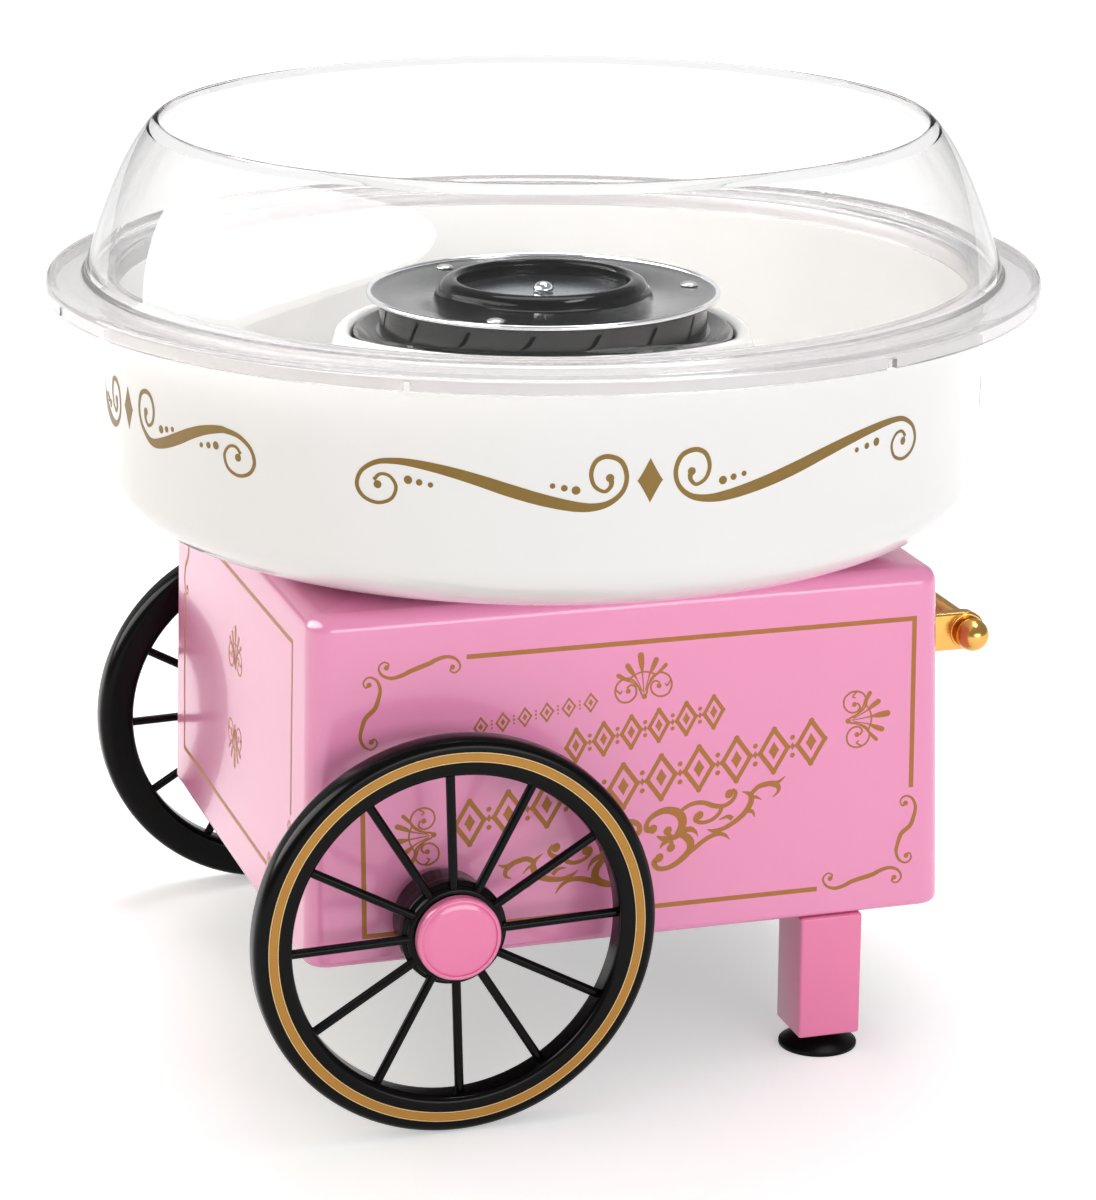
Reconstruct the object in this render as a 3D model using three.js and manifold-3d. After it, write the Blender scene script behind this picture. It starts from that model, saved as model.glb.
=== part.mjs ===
// Tabletop cotton candy machine, shaped like a small fairground cart.
// Millimetres, +Z up. The origin is on the table, under the axis of the spinning head.
// The decorated long side faces -Y, the pull handle is at +X, the two wheels are towards -X.

import * as THREE from "three";
import { mergeVertices } from "three/addons/utils/BufferGeometryUtils.js";
import Module from "manifold-3d";

const wasm = await Module();
wasm.setup();

// Driving dimensions, in millimetres and degrees

// Air between pieces that seat on each other
const clearance = 0.3;

// How far joined shapes run into each other, and how far a hole's tool runs past a face
const overrun = 1;

// Cart body: an open-bottomed moulding with drafted walls
const bodyLength = 195.8;
const bodyWidth = 182.8;
const bodyHeight = 104.3;
const bodyFootBelowAxle = 14.6;
const bodyWall = 2.6;
const bodyDraft = 1.36;
const bodyCorner = 7;
const bodyInnerCorner = 0.6;
const deckEdge = 5;
const footEdge = 2.5;
const deckHoleMargin = 1;
const seatRingOut = 1;
const seatRingWidth = 4;
const seatRingHeight = 2;

// Base plate, its screws and the posts that take them
const basePlateRecess = 2.6;
const basePlateThickness = 2.4;
const postInsetX = 12;
const postInsetY = 12;
const postRadius = 4.6;
const postRib = 2;
const ventCount = 7;
const ventWidth = 3.2;
const ventLength = 46;
const ventPitch = 8;

// Screws
const screwShank = 1.5;
const screwHead = 3.1;
const screwHeadHeight = 1.6;
const baseScrewLength = 14;

// Wheels, axle and hub caps
const axleFromEnd = 38.4;
const axleRadius = 3;
const axleBossWall = 3.8;
const axleBossRise = 2.4;
const bushWall = 1.9;
const bushFlangeWidth = 2.4;
const bushFlangeThickness = 1.8;
const wheelRadius = 59.2;
const rimDepth = 11.1;
const rimWidth = 9.8;
const rimOuterRound = 3.4;
const rimInnerRound = 2.5;
const wheelHubRadius = 14.3;
const wheelHubLength = 17.6;
const wheelHubEdge = 1.5;
const hubSetback = 3.3;
const spokeCount = 12;
const spokeRadius = 1.35;
const spokeTurn = 1.5;
const hubCapRadius = 12.35;
const hubCapDepth = 4.4;
const hubCapEdge = 0.6;
const hubCapCrownReach = 5;
const hubCapCrownRise = 2.2;
const axleGrip = 2.4;

// Legs and suction cups
const legFromEnd = 35.2;
const legWidth = 19.4;
const legInset = 0.5;
const legEdge = 0.8;
const legSpigotWidth = 11.4;
const legSpigotLength = 12;
const legSpigotTaper = 1.5;
const legBottom = 6;
const cupLipRadius = 11.8;
const cupLipWidth = 1.6;
const cupLipHeight = 1.2;
const cupShoulderRadius = 8.5;
const cupShoulderHeight = 3.1;
const cupNeckRadius = 5.6;
const cupNeckHeight = 4.8;
const cupHollowRadius = 5.9;
const cupHollowRise = 2.1;
const cupHollowTop = 2.9;
const cupStemRadius = 3;
const cupStemLength = 7;

// Pull handle on the end wall
const handleBelowDeck = 26.9;
const handleStandoff = 15.1;
const handleArmInset = 25.9;
const handleArmThickness = 5;
const handleArmHeight = 11.7;
const handleArmBevel = 0.8;
const handlePegRadius = 2.5;
const handlePegLength = 6;
const handleBarRadius = 4.3;
const handleBallRadius = 4.9;
const handleBallOut = 4;
const handleTenonRadius = 2.2;

// Bowl: a ring-shaped trough round a raised centre
const bowlRadius = 132.6;
const bowlHeight = 74.5;
const bowlWall = 2.2;
const bowlTaper = 1;
const bowlCornerReach = 36;
const bowlCornerRise = 18;
const bowlLipReach = 1.8;
const bowlLipHeight = 4;
const humpRise = 0.5;
const humpGap = 3;
const humpSpread = 15.2;
const humpRound = 2.6;
const humpLipDrop = 2;

// Clear rim guard
const guardOverhang = 16.4;
const guardWall = 2;
const guardSkirt = 4.2;
const guardHeight = 47.1;
const guardShoulderIn = 5.5;
const guardShoulderDrop = 1.4;
const domeFootOut = 4.9;
const domeFootGuideIn = 4.7;
const domeFootGuideRise = 15.5;
const domeShoulderOut = 9.7;
const domeShoulderDrop = 7.7;
const domeMouthIn = 22.2;
const guardCollarDepth = 5;
const guardNotchWidth = 2.2;
const guardNotchHeight = 2.8;
const guardNotchAngles = [-176.5, -121.5, -67, 3.5, 58.5, 113];

// Turret, heater pan and heating element
const turretRadius = 55;
const turretWall = 2.4;
const turretHeight = 48.3;
const turretFlangeOut = 7;
const turretFlangeIn = 8;
const turretFlangeThickness = 2.2;
const turretLedge = 9;
const panMargin = 0.6;
const panWall = 1.2;
const panDepth = 8.1;
const panSlope = 7.9;
const panFloorRound = 0.7;
const panBossRadius = 10;
const panBossHeight = 2.8;
const panBoreGap = 1.6;
const elementInset = 11.5;
const elementTube = 2.6;
const elementLift = 1.4;
const elementGap = 24;
const elementBend = 4;
const elementTail = 9;
const saddleCount = 3;
const saddleWidth = 6;
const saddleReach = 8;

// Spinning head
const headMargin = 3.8;
const headPlateThickness = 0.8;
const headLipRise = 1.2;
const headLipWidth = 3.2;
const headLipEdge = 0.6;
const headRunningGap = 1;
const headBandInset = 4;
const headBandWall = 1;
const headBandHeight = 9.6;
const headSlotCount = 16;
const headSlotWidth = 1.6;
const headSlotHeight = 6.4;
const headSlotSlant = 30;
const sugarCupMouth = 26;
const sugarCupBulge = 5.7;
const sugarCupFootOut = 0.9;
const sugarCupFootHeight = 0.6;
const sugarCupRimWidth = 1.2;
const sugarCupRimDrop = 0.5;
const sugarCupHeight = 4.3;
const hubFlangeOut = 0.4;
const hubFlangeThickness = 1.2;
const hubStemRadius = 7.8;
const hubStemGap = 0.8;
const rivetInset = 4.2;
const rivetCount = 3;
const rivetTurn = 115;
const rivetHeadRadius = 2.6;
const rivetHeadHeight = 1;
const rivetShank = 1.2;
const rivetTailRadius = 2;
const rivetTailHeight = 0.7;
const domeScrewRadius = 2.9;
const domeScrewHeight = 2.3;
const domeScrewLength = 2.6;

// Motor
const motorRadius = 28;
const motorLength = 50;
const motorWall = 2;
const motorEdge = 2;
const statorWall = 6.5;
const statorLength = 30;
const armatureGap = 0.9;
const armatureSlotCount = 6;
const armatureSlotWidth = 2;
const bracketEdge = 4.5;
const bracketThickness = 2.5;
const bracketBoreMargin = 2;
const bracketVentRadius = 6;
const bracketVentInset = 20;
const bracketVentTurn = 30;
const bracketScrewInset = 3.5;
const bracketScrewCount = 3;
const motorScrewInset = 12;
const motorScrewCount = 2;
const motorScrewLength = 7;
const shaftRadius = 3;
const bearingRadius = 6;
const bearingLength = 5.2;
const shaftGrip = 7.9;
const shaftTail = 2;
const drivePinRadius = 1;
const drivePinLength = 11;
const drivePinSlotDepth = 3.6;
const fanRadius = 24;
const fanHubRadius = 6;
const fanHubLength = 8;
const fanBladeCount = 7;
const fanBladeThickness = 1.2;
const fanBladeWidth = 8;
const fanPitch = 35;

// Rocker switch and cord inlet on the rear wall
const switchFromEnd = 35.9;
const switchBelowDeck = 56.9;
const switchBezelWidth = 15;
const switchBezelHeight = 21;
const switchBezelThickness = 1.6;
const switchBodyDepth = 14;
const switchBodyMargin = 1.2;
const switchBodyWall = 1.1;
const rockerSideGap = 0.3;
const rockerEndGap = 1;
const rockerCrown = 2.2;
const rockerDip = 1.3;
const rockerBack = 1.5;
const rockerHeel = 3;
const rockerPivotDepth = 3;
const rockerTilt = 8;
const rockerPocketDepth = 8;
const inletFromEnd = 77.9;
const inletAboveFoot = 19.4;
const inletRadius = 5;
const inletBore = 3.4;
const inletFlangeRadius = 7.5;
const inletFlangeThickness = 1.6;
const inletEdge = 1;
const inletLength = 9;

// Facets round each kind of turned piece
const largeFacets = 32;
const mediumFacets = 20;
const smallFacets = 16;
const slimFacets = 12;
const rivetFacets = 8;
const tinyFacets = 6;
const spokeFacets = 6;
const elementFacets = 6;

// Steps along each kind of curve
const cornerSteps = 3;
const edgeSteps = 2;
const bowlCornerSteps = 3;
const crestSteps = 2;
const domeSteps = 4;
const capSteps = 3;
const ballSteps = 4;
const sugarCupSteps = 3;
const elementSteps = 28;

// Levels and places that follow from the driving dimensions

const radians = THREE.MathUtils.degToRad;
const draftSlope = Math.tan(radians(bodyDraft));
const axleZ = wheelRadius;
const axleX = axleFromEnd - bodyLength / 2;
const bodyFoot = axleZ - bodyFootBelowAxle;
const deckTop = bodyFoot + bodyHeight;
const deckUnderside = deckTop - bodyWall;
const basePlateBottom = bodyFoot + basePlateRecess;
const basePlateTop = basePlateBottom + basePlateThickness;
const postX = bodyLength / 2 - postInsetX;
const postY = bodyWidth / 2 - postInsetY;
const legX = bodyLength / 2 - legFromEnd;
const legY = bodyWidth / 2 - legInset - legWidth / 2;
const legTop = bodyFoot - clearance;
const handleHeight = deckTop - handleBelowDeck;
const handleReach = bodyLength / 2 + handleStandoff;
const handleArmY = bodyWidth / 2 - handleArmInset;
const switchX = bodyLength / 2 - switchFromEnd;
const switchZ = deckTop - switchBelowDeck;
const inletX = bodyLength / 2 - inletFromEnd;
const inletZ = bodyFoot + inletAboveFoot;

const turretBottom = deckTop + clearance;
const turretTop = turretBottom + turretHeight;
const turretFlangeRadius = turretRadius + turretFlangeOut;
const turretFlangeInner = turretRadius - turretFlangeIn;
const deckHoleRadius = turretFlangeInner - deckHoleMargin;
const humpHoleRadius = turretRadius + humpGap;
const humpFootRadius = humpHoleRadius + humpSpread;
const seatRingRadius = humpFootRadius + seatRingOut;
const panUnderside = turretTop + clearance;
const panFloor = panUnderside + panWall;
const panTop = panFloor + panDepth;
const panRadius = humpHoleRadius - panMargin;
const panFloorRadius = panRadius - panSlope;
const panBoreRadius = shaftRadius + panBoreGap;
const elementRadius = panFloorRadius - elementInset;
const elementZ = panFloor + elementLift + elementTube;

const bowlBottom = deckTop + seatRingHeight + clearance;
const bowlMouth = bowlBottom + bowlHeight;
const humpTop = panTop + humpRise;
const guardRadius = bowlRadius + guardOverhang;
const guardUnderside = bowlMouth + clearance;
const guardTop = guardUnderside + guardHeight;
const domeFootRadius = bowlRadius + domeFootOut;
const domeMouthRadius = domeFootRadius - domeMouthIn;

const headRadius = panRadius - headMargin;
const headBandRadius = headRadius - headBandInset;
const headBottom = elementZ + elementTube + headRunningGap;
const bandBottom = headBottom + headPlateThickness + clearance;
const headPlateBottom = bandBottom + headBandHeight + clearance;
const headPlateTop = headPlateBottom + headPlateThickness;
const sugarCupBelly = sugarCupMouth + sugarCupBulge;
const sugarCupFootRadius = sugarCupBelly + sugarCupFootOut;
const hubFlangeRadius = sugarCupFootRadius + hubFlangeOut;
const hubStemBottom = panFloor + panBossHeight + hubStemGap;
const rivetCircle = headBandRadius - rivetInset;
const shaftTop = hubStemBottom + shaftGrip;

const bracketTop = deckUnderside - clearance;
const bracketBottom = bracketTop - bracketThickness;
const bracketScrewCircle = turretRadius - bracketScrewInset;
const bracketRadius = bracketScrewCircle + bracketEdge;
const bracketVentCircle = bracketRadius - bracketVentInset;
const motorTop = bracketBottom - clearance;
const motorBottom = motorTop - motorLength;
const motorScrewCircle = motorRadius - motorScrewInset;
const shaftHole = shaftRadius + clearance;
const screwHole = screwShank + clearance;

// Half the length or width of the drafted body at a height, on its outer face
function bodyHalfLength(z) {
  return bodyLength / 2 - (z - bodyFoot) * draftSlope;
}

function bodyHalfWidth(z) {
  return bodyWidth / 2 - (z - bodyFoot) * draftSlope;
}

// Solid making

function solid(geometry) {
  const bare = new THREE.BufferGeometry();
  bare.setAttribute("position", geometry.getAttribute("position"));
  bare.setIndex(geometry.getIndex());
  const merged = mergeVertices(bare, 1e-4);
  const corners = Array.from(merged.getIndex().array);
  const kept = [];
  for (let i = 0; i < corners.length; i += 3) {
    const [a, b, c] = corners.slice(i, i + 3);
    if (a !== b && b !== c && c !== a) {
      kept.push(a, b, c);
    }
  }
  const mesh = new wasm.Mesh({
    numProp: 3,
    vertProperties: new Float32Array(merged.getAttribute("position").array),
    triVerts: new Uint32Array(kept),
  });
  return new wasm.Manifold(mesh);
}

function join(bodies) {
  return bodies.reduce((whole, body) => whole.add(body));
}

function cut(body, tools) {
  return tools.reduce((rest, tool) => rest.subtract(tool), body);
}

// A closed section of [radius, height] points turned about the Z axis
function revolve(section, facets) {
  const points = section.map(([radius, height]) => new THREE.Vector2(radius, height));
  if (THREE.ShapeUtils.area(points) < 0) {
    points.reverse();
  }
  points.push(points[0].clone());
  return solid(new THREE.LatheGeometry(points, facets).rotateX(Math.PI / 2));
}

// The same, turned about the Y axis, with height measured towards `side` times +Y
function revolveAlongY(section, facets, side) {
  return revolve(section, facets).rotate([-90 * side, 0, 0]);
}

function rod(radius, low, high, facets) {
  return revolve([[0, low], [radius, low], [radius, high], [0, high]], facets);
}

function tube(outer, inner, low, high, facets) {
  return revolve([[inner, low], [outer, low], [outer, high], [inner, high]], facets);
}

function rodAlongY(radius, low, high, facets) {
  return rod(radius, low, high, facets).rotate([-90, 0, 0]);
}

function rodAlongX(radius, low, high, facets) {
  return rod(radius, low, high, facets).rotate([0, 90, 0]);
}

function box(sizeX, sizeY, sizeZ, centreX, centreY, centreZ) {
  return solid(new THREE.BoxGeometry(sizeX, sizeY, sizeZ).translate(centreX, centreY, centreZ));
}

function around(count, turn, make) {
  return Array.from({ length: count }, (_, i) => make(turn + (360 * i) / count, i));
}

// Points of an arc round [x, y], both ends included
function arc(x, y, radiusX, radiusY, from, to, steps) {
  return Array.from({ length: steps + 1 }, (_, i) => {
    const angle = radians(from + ((to - from) * i) / steps);
    return [x + radiusX * Math.cos(angle), y + radiusY * Math.sin(angle)];
  });
}

// Corner points of a rounded rectangle at height z
function roundedRing(halfX, halfY, radius, z, steps) {
  const centres = [[1, 1], [-1, 1], [-1, -1], [1, -1]];
  return centres.flatMap(([sx, sy], quarter) =>
    arc(sx * (halfX - radius), sy * (halfY - radius), radius, radius, quarter * 90, quarter * 90 + 90, steps)
      .map(([x, y]) => new THREE.Vector3(x, y, z)));
}

// A closed body skinned over rings of equal point count, from the lowest to the highest
function loft(rings) {
  const count = rings[0].length;
  const points = rings.flat().flatMap((point) => [point.x, point.y, point.z]);
  const index = [];
  for (let level = 0; level + 1 < rings.length; level += 1) {
    for (let i = 0; i < count; i += 1) {
      const a = level * count + i;
      const b = level * count + ((i + 1) % count);
      index.push(a, b, b + count, a, b + count, a + count);
    }
  }
  const last = (rings.length - 1) * count;
  for (let i = 1; i + 1 < count; i += 1) {
    index.push(0, i + 1, i);
    index.push(last, last + i, last + i + 1);
  }
  const geometry = new THREE.BufferGeometry();
  geometry.setAttribute("position", new THREE.Float32BufferAttribute(points, 3));
  geometry.setIndex(index);
  return solid(geometry);
}

function extrude(outline, depth, bevel) {
  const shape = new THREE.Shape(outline.map(([x, y]) => new THREE.Vector2(x, y)));
  const settings = { depth: depth - 2 * bevel, bevelEnabled: bevel > 0, bevelSize: bevel,
    bevelThickness: bevel, bevelOffset: -bevel, bevelSegments: 1, curveSegments: 8 };
  return solid(new THREE.ExtrudeGeometry(shape, settings).translate(0, 0, bevel));
}

// A screw or rivet standing on z = 0, head up, with its shank below
function fastener(headRadius, headHeight, shankRadius, length, facets) {
  return revolve([[0, -length], [shankRadius, -length], [shankRadius, 0], [headRadius, 0],
    [headRadius, headHeight * 0.5], [headRadius * 0.7, headHeight], [0, headHeight]], facets);
}

// Finishes

function finish(color, roughness, metalness, opacity = 1) {
  return { color, roughness, metalness, opacity, transparent: opacity < 1 };
}

const pinkPlastic = finish(0xf69bc3, 0.25, 0);
const whitePlastic = finish(0xf4f2ee, 0.2, 0);
const clearPlastic = finish(0xf2f4f5, 0.05, 0, 0.3);
const blackPlastic = finish(0x121212, 0.2, 0);
const blackRubber = finish(0x1a1a1a, 0.6, 0);
const goldPlastic = finish(0xc08a35, 0.25, 1);
const polishedSteel = finish(0xc8c8c8, 0.15, 1);
const platedSteel = finish(0x9a9a9a, 0.35, 1);
const darkEnamel = finish(0x3a3a3c, 0.5, 0.3);
const ceramic = finish(0xe6e0d2, 0.7, 0);
const bronze = finish(0x8c6a3c, 0.4, 1);

function piece(name, body, look) {
  const mesh = body.getMesh();
  const geometry = new THREE.BufferGeometry();
  geometry.setAttribute("position", new THREE.BufferAttribute(mesh.vertProperties, 3));
  geometry.setIndex(new THREE.BufferAttribute(mesh.triVerts, 1));
  geometry.computeVertexNormals();
  const made = new THREE.Mesh(geometry, new THREE.MeshStandardMaterial(look));
  made.name = name;
  return made;
}

// Places of what is fastened to the body

const basePosts = [[1, 1], [-1, 1], [-1, -1], [1, -1]].map(([sx, sy]) => [sx * postX, sy * postY]);
const bracketScrewPlaces = around(bracketScrewCount, 90, (angle) => [
  bracketScrewCircle * Math.cos(radians(angle)), bracketScrewCircle * Math.sin(radians(angle))]);
const motorScrewPlaces = around(motorScrewCount, 0, (angle) => [
  motorScrewCircle * Math.cos(radians(angle)), motorScrewCircle * Math.sin(radians(angle))]);
const rivetPlaces = around(rivetCount, rivetTurn, (angle) => [
  rivetCircle * Math.cos(radians(angle)), rivetCircle * Math.sin(radians(angle))]);
const sides = [["near", -1], ["far", 1]];
const bushRadius = axleRadius + clearance + bushWall;
const bushFlangeRadius = bushRadius + bushFlangeWidth;
const axleBossRadius = bushRadius + axleBossWall;
const axleBossFace = bodyHalfWidth(axleZ) + axleBossRise;
const wheelHubBack = axleBossFace + clearance;
const wheelHubFront = wheelHubBack + wheelHubLength;
const rimFront = wheelHubFront + hubSetback;
const spokeY = rimFront - rimWidth / 2;
const axleEnd = wheelHubFront + clearance + axleGrip;
const inletWallY = bodyHalfWidth(inletZ - inletFlangeRadius);
const switchWallY = bodyHalfWidth(switchZ - switchBezelHeight / 2);
const switchBodyWidth = switchBezelWidth - 2 * switchBodyMargin;
const switchBodyHeight = switchBezelHeight - 2 * switchBodyMargin;
const rockerPocketWidth = switchBodyWidth - 2 * switchBodyWall;
const rockerPocketHeight = switchBodyHeight - 2 * switchBodyWall;
const rockerWidth = rockerPocketWidth - 2 * rockerSideGap;
const rockerHalf = rockerPocketHeight / 2 - rockerEndGap;

// Cart body

// Levels of a rounded edge, each with how far the edge stands in from the wall there
function edgeLevels(level, round, way) {
  const steps = round > 0 ? edgeSteps : 0;
  return Array.from({ length: steps + 1 }, (_, i) => {
    const angle = (i / Math.max(steps, 1)) * (Math.PI / 2);
    return [level - way * round * (1 - Math.sin(angle)), round * (1 - Math.cos(angle))];
  });
}

// Rings of the body's outer form, moved in by `inset` all round
function bodyRings(inset, low, high, lowRound, highRound) {
  const levels = [...edgeLevels(low, lowRound, -1).reverse(), ...edgeLevels(high, highRound, 1)];
  return levels.map(([z, step]) => {
    const radius = Math.max(bodyCorner - inset - step, bodyInnerCorner);
    const narrower = inset + step;
    return roundedRing(bodyHalfLength(z) - narrower, bodyHalfWidth(z) - narrower, radius, z, cornerSteps);
  });
}

// A vertical hole's tool through the levels from `low` to `high`
function drill(radius, low, high, facets) {
  return ([x, y]) => rod(radius, low - overrun, high + overrun, facets).translate([x, y, 0]);
}

// A screw post in a corner of the body, with a rib to the end wall
function screwPost([x, y]) {
  const low = basePlateTop + clearance;
  const high = deckUnderside + overrun;
  const wallX = bodyHalfLength(deckTop) - bodyWall / 2;
  const ribLength = wallX - Math.abs(x);
  const ribX = Math.sign(x) * (wallX - ribLength / 2);
  const rib = box(ribLength, postRib, high - low, ribX, y, (low + high) / 2);
  return rod(postRadius, low, high, rivetFacets).translate([x, y, 0]).add(rib);
}

function cartBody() {
  const outer = loft(bodyRings(0, bodyFoot, deckTop, footEdge, deckEdge));
  const hollow = loft(bodyRings(bodyWall, bodyFoot - overrun, deckUnderside, 0, deckEdge - bodyWall));
  const seat = tube(seatRingRadius + seatRingWidth / 2, seatRingRadius - seatRingWidth / 2,
    deckTop - overrun, deckTop + seatRingHeight, largeFacets);
  const bossBack = bodyHalfWidth(axleZ) - bodyWall / 2;
  const axleBosses = sides.map(([, side]) =>
    revolveAlongY([[0, bossBack], [axleBossRadius, bossBack], [axleBossRadius, axleBossFace],
      [0, axleBossFace]], smallFacets, side).translate([axleX, 0, axleZ]));
  const axleHole = rodAlongY(bushRadius + clearance, -bodyWidth, bodyWidth, slimFacets)
    .translate([axleX, 0, axleZ]);
  const deckHole = drill(deckHoleRadius, deckUnderside, deckTop, mediumFacets)([0, 0]);
  const deckScrewHoles = bracketScrewPlaces.map(drill(screwHole, deckUnderside, deckTop, tinyFacets));
  const postHoles = basePosts.map(drill(screwHole, basePlateTop, basePlateTop + baseScrewLength, tinyFacets));
  const wallX = bodyHalfLength(handleHeight);
  const handleHoles = sides.map(([, side]) =>
    rodAlongX(handlePegRadius + clearance, wallX - 2 * bodyWall, wallX + bodyWall, tinyFacets)
      .translate([0, side * handleArmY, handleHeight]));
  const switchHole = box(switchBodyWidth + 2 * clearance, 4 * bodyWall, switchBodyHeight + 2 * clearance,
    switchX, switchWallY, switchZ);
  const inletHole = rodAlongY(inletRadius + clearance, inletWallY - 2 * bodyWall, inletWallY + bodyWall,
    slimFacets).translate([inletX, 0, inletZ]);
  return cut(join([outer.subtract(hollow), seat, ...basePosts.map(screwPost), ...axleBosses]),
    [axleHole, deckHole, ...deckScrewHoles, ...postHoles, ...handleHoles, switchHole, inletHole]);
}

function basePlate() {
  const inset = bodyWall + clearance;
  const corner = bodyCorner - bodyWall;
  const plate = loft([basePlateBottom, basePlateTop].map((z) =>
    roundedRing(bodyHalfLength(z) - inset, bodyHalfWidth(z) - inset, corner, z, cornerSteps)));
  const middle = (basePlateBottom + basePlateTop) / 2;
  const deep = basePlateThickness + 2 * overrun;
  const screwHoles = basePosts.map(drill(screwHole, basePlateBottom, basePlateTop, tinyFacets));
  const spigotHole = legSpigotWidth + 2 * clearance;
  const legHoles = sides.map(([, side]) => box(spigotHole, spigotHole, deep, legX, side * legY, middle));
  const vents = Array.from({ length: ventCount }, (_, i) =>
    box(ventLength, ventWidth, deep, 0, (i - (ventCount - 1) / 2) * ventPitch, middle));
  return cut(plate, [...screwHoles, ...legHoles, ...vents]);
}

// Running gear

function rimSection() {
  const half = rimWidth / 2;
  const inner = wheelRadius - rimDepth;
  const outerX = wheelRadius - rimOuterRound;
  const innerX = inner + rimInnerRound;
  const corner = (x, way, round, from, steps) =>
    arc(x, way * (half - round), round, round, from, from + 90, steps);
  return [
    ...corner(outerX, 1, rimOuterRound, 0, edgeSteps), ...corner(innerX, 1, rimInnerRound, 90, 1),
    ...corner(innerX, -1, rimInnerRound, 180, 1), ...corner(outerX, -1, rimOuterRound, 270, edgeSteps),
  ];
}

function wheel(side) {
  const rim = revolveAlongY(rimSection(), largeFacets, 1).translate([0, side * spokeY, 0]);
  const hub = revolveAlongY([[0, wheelHubBack], [wheelHubRadius - wheelHubEdge, wheelHubBack],
    [wheelHubRadius, wheelHubBack + wheelHubEdge], [wheelHubRadius, wheelHubFront - wheelHubEdge],
    [wheelHubRadius - wheelHubEdge, wheelHubFront], [0, wheelHubFront]], smallFacets, side);
  const spokeStart = wheelHubRadius / 2;
  const spokeEnd = wheelRadius - rimDepth / 2;
  const spoke = rod(spokeRadius, spokeStart, spokeEnd, spokeFacets);
  const spokes = around(spokeCount, spokeTurn, (angle) =>
    spoke.rotate([0, angle, 0]).translate([0, side * spokeY, 0]));
  const bore = rodAlongY(axleRadius + clearance, -bodyWidth, bodyWidth, slimFacets);
  return join([rim, hub, ...spokes]).subtract(bore);
}

function axleBush(side) {
  const back = bodyHalfWidth(axleZ + bushFlangeRadius) - bodyWall - clearance;
  const bore = axleRadius + clearance;
  return revolveAlongY([[bore, back - bushFlangeThickness], [bushFlangeRadius, back - bushFlangeThickness],
    [bushFlangeRadius, back], [bushRadius, back], [bushRadius, axleBossFace], [bore, axleBossFace]],
    slimFacets, side);
}

function hubCap(side) {
  const back = wheelHubFront + clearance;
  const front = back + hubCapDepth;
  const socket = axleRadius + clearance;
  const socketEnd = axleEnd + clearance;
  return revolveAlongY([[socket, back], [hubCapRadius - hubCapEdge, back], [hubCapRadius, back + hubCapEdge],
    ...arc(hubCapRadius - hubCapCrownReach, front - hubCapCrownRise, hubCapCrownReach, hubCapCrownRise,
      0, 90, capSteps),
    [0, front], [0, socketEnd], [socket, socketEnd]], smallFacets, side);
}

function leg() {
  const ring = (half, z) => roundedRing(half, half, legEdge, z, 1);
  const spigotHalf = legSpigotWidth / 2;
  const spigotTop = basePlateTop + legSpigotLength;
  const post = loft([ring(legWidth / 2, legBottom), ring(legWidth / 2, legTop)]);
  const spigot = loft([ring(spigotHalf, legTop - overrun), ring(spigotHalf, spigotTop - legSpigotTaper),
    ring(spigotHalf - legSpigotTaper, spigotTop)]);
  const socket = rod(cupStemRadius + clearance, legBottom - overrun, legBottom + cupStemLength + clearance,
    slimFacets);
  return post.add(spigot).subtract(socket);
}

function suctionCup() {
  const top = legBottom - clearance;
  const stemTop = legBottom + cupStemLength;
  return revolve([[cupLipRadius - cupLipWidth, 0], [cupLipRadius, 0], [cupLipRadius, cupLipHeight],
    [cupShoulderRadius, cupShoulderHeight], [cupNeckRadius, cupNeckHeight], [cupNeckRadius, top],
    [cupStemRadius, top], [cupStemRadius, stemTop], [0, stemTop], [0, cupHollowTop],
    [cupHollowRadius, cupHollowRise]], smallFacets);
}

// Pull handle

function handleArm(side) {
  const root = bodyHalfLength(handleHeight - handleArmHeight / 2) + clearance;
  const half = handleArmHeight / 2;
  const outline = [[root, handleHeight - half],
    ...arc(handleReach, handleHeight, half, half, -90, 90, smallFacets / 2), [root, handleHeight + half]];
  const arm = extrude(outline, handleArmThickness, handleArmBevel).rotate([90, 0, 0])
    .translate([0, side * handleArmY + handleArmThickness / 2, 0]);
  const peg = rodAlongX(handlePegRadius, root - bodyWall - handlePegLength, root + half, tinyFacets)
    .translate([0, side * handleArmY, handleHeight]);
  const hole = rodAlongY(handleBarRadius + clearance, -bodyWidth, bodyWidth, smallFacets)
    .translate([handleReach, 0, handleHeight]);
  return join([arm, peg]).subtract(hole);
}

const handleArmFace = handleArmY + handleArmThickness / 2;
const handleBallY = handleArmFace + handleBallOut;

function handleBar() {
  const bar = rodAlongY(handleBarRadius, -handleArmFace, handleArmFace, smallFacets);
  const tenon = rodAlongY(handleTenonRadius, -handleBallY, handleBallY, tinyFacets);
  return join([bar, tenon]);
}

function handleBall(side) {
  const flat = handleBallOut - clearance;
  const start = THREE.MathUtils.radToDeg(Math.asin(-flat / handleBallRadius));
  const socket = handleTenonRadius + clearance;
  const round = arc(0, 0, handleBallRadius, handleBallRadius, start, 90, ballSteps).slice(0, -1);
  const section = [[socket, -flat], ...round, [0, handleBallRadius], [0, clearance], [socket, clearance]];
  return revolveAlongY(section, slimFacets, side);
}

// Bowl and rim guard

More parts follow.
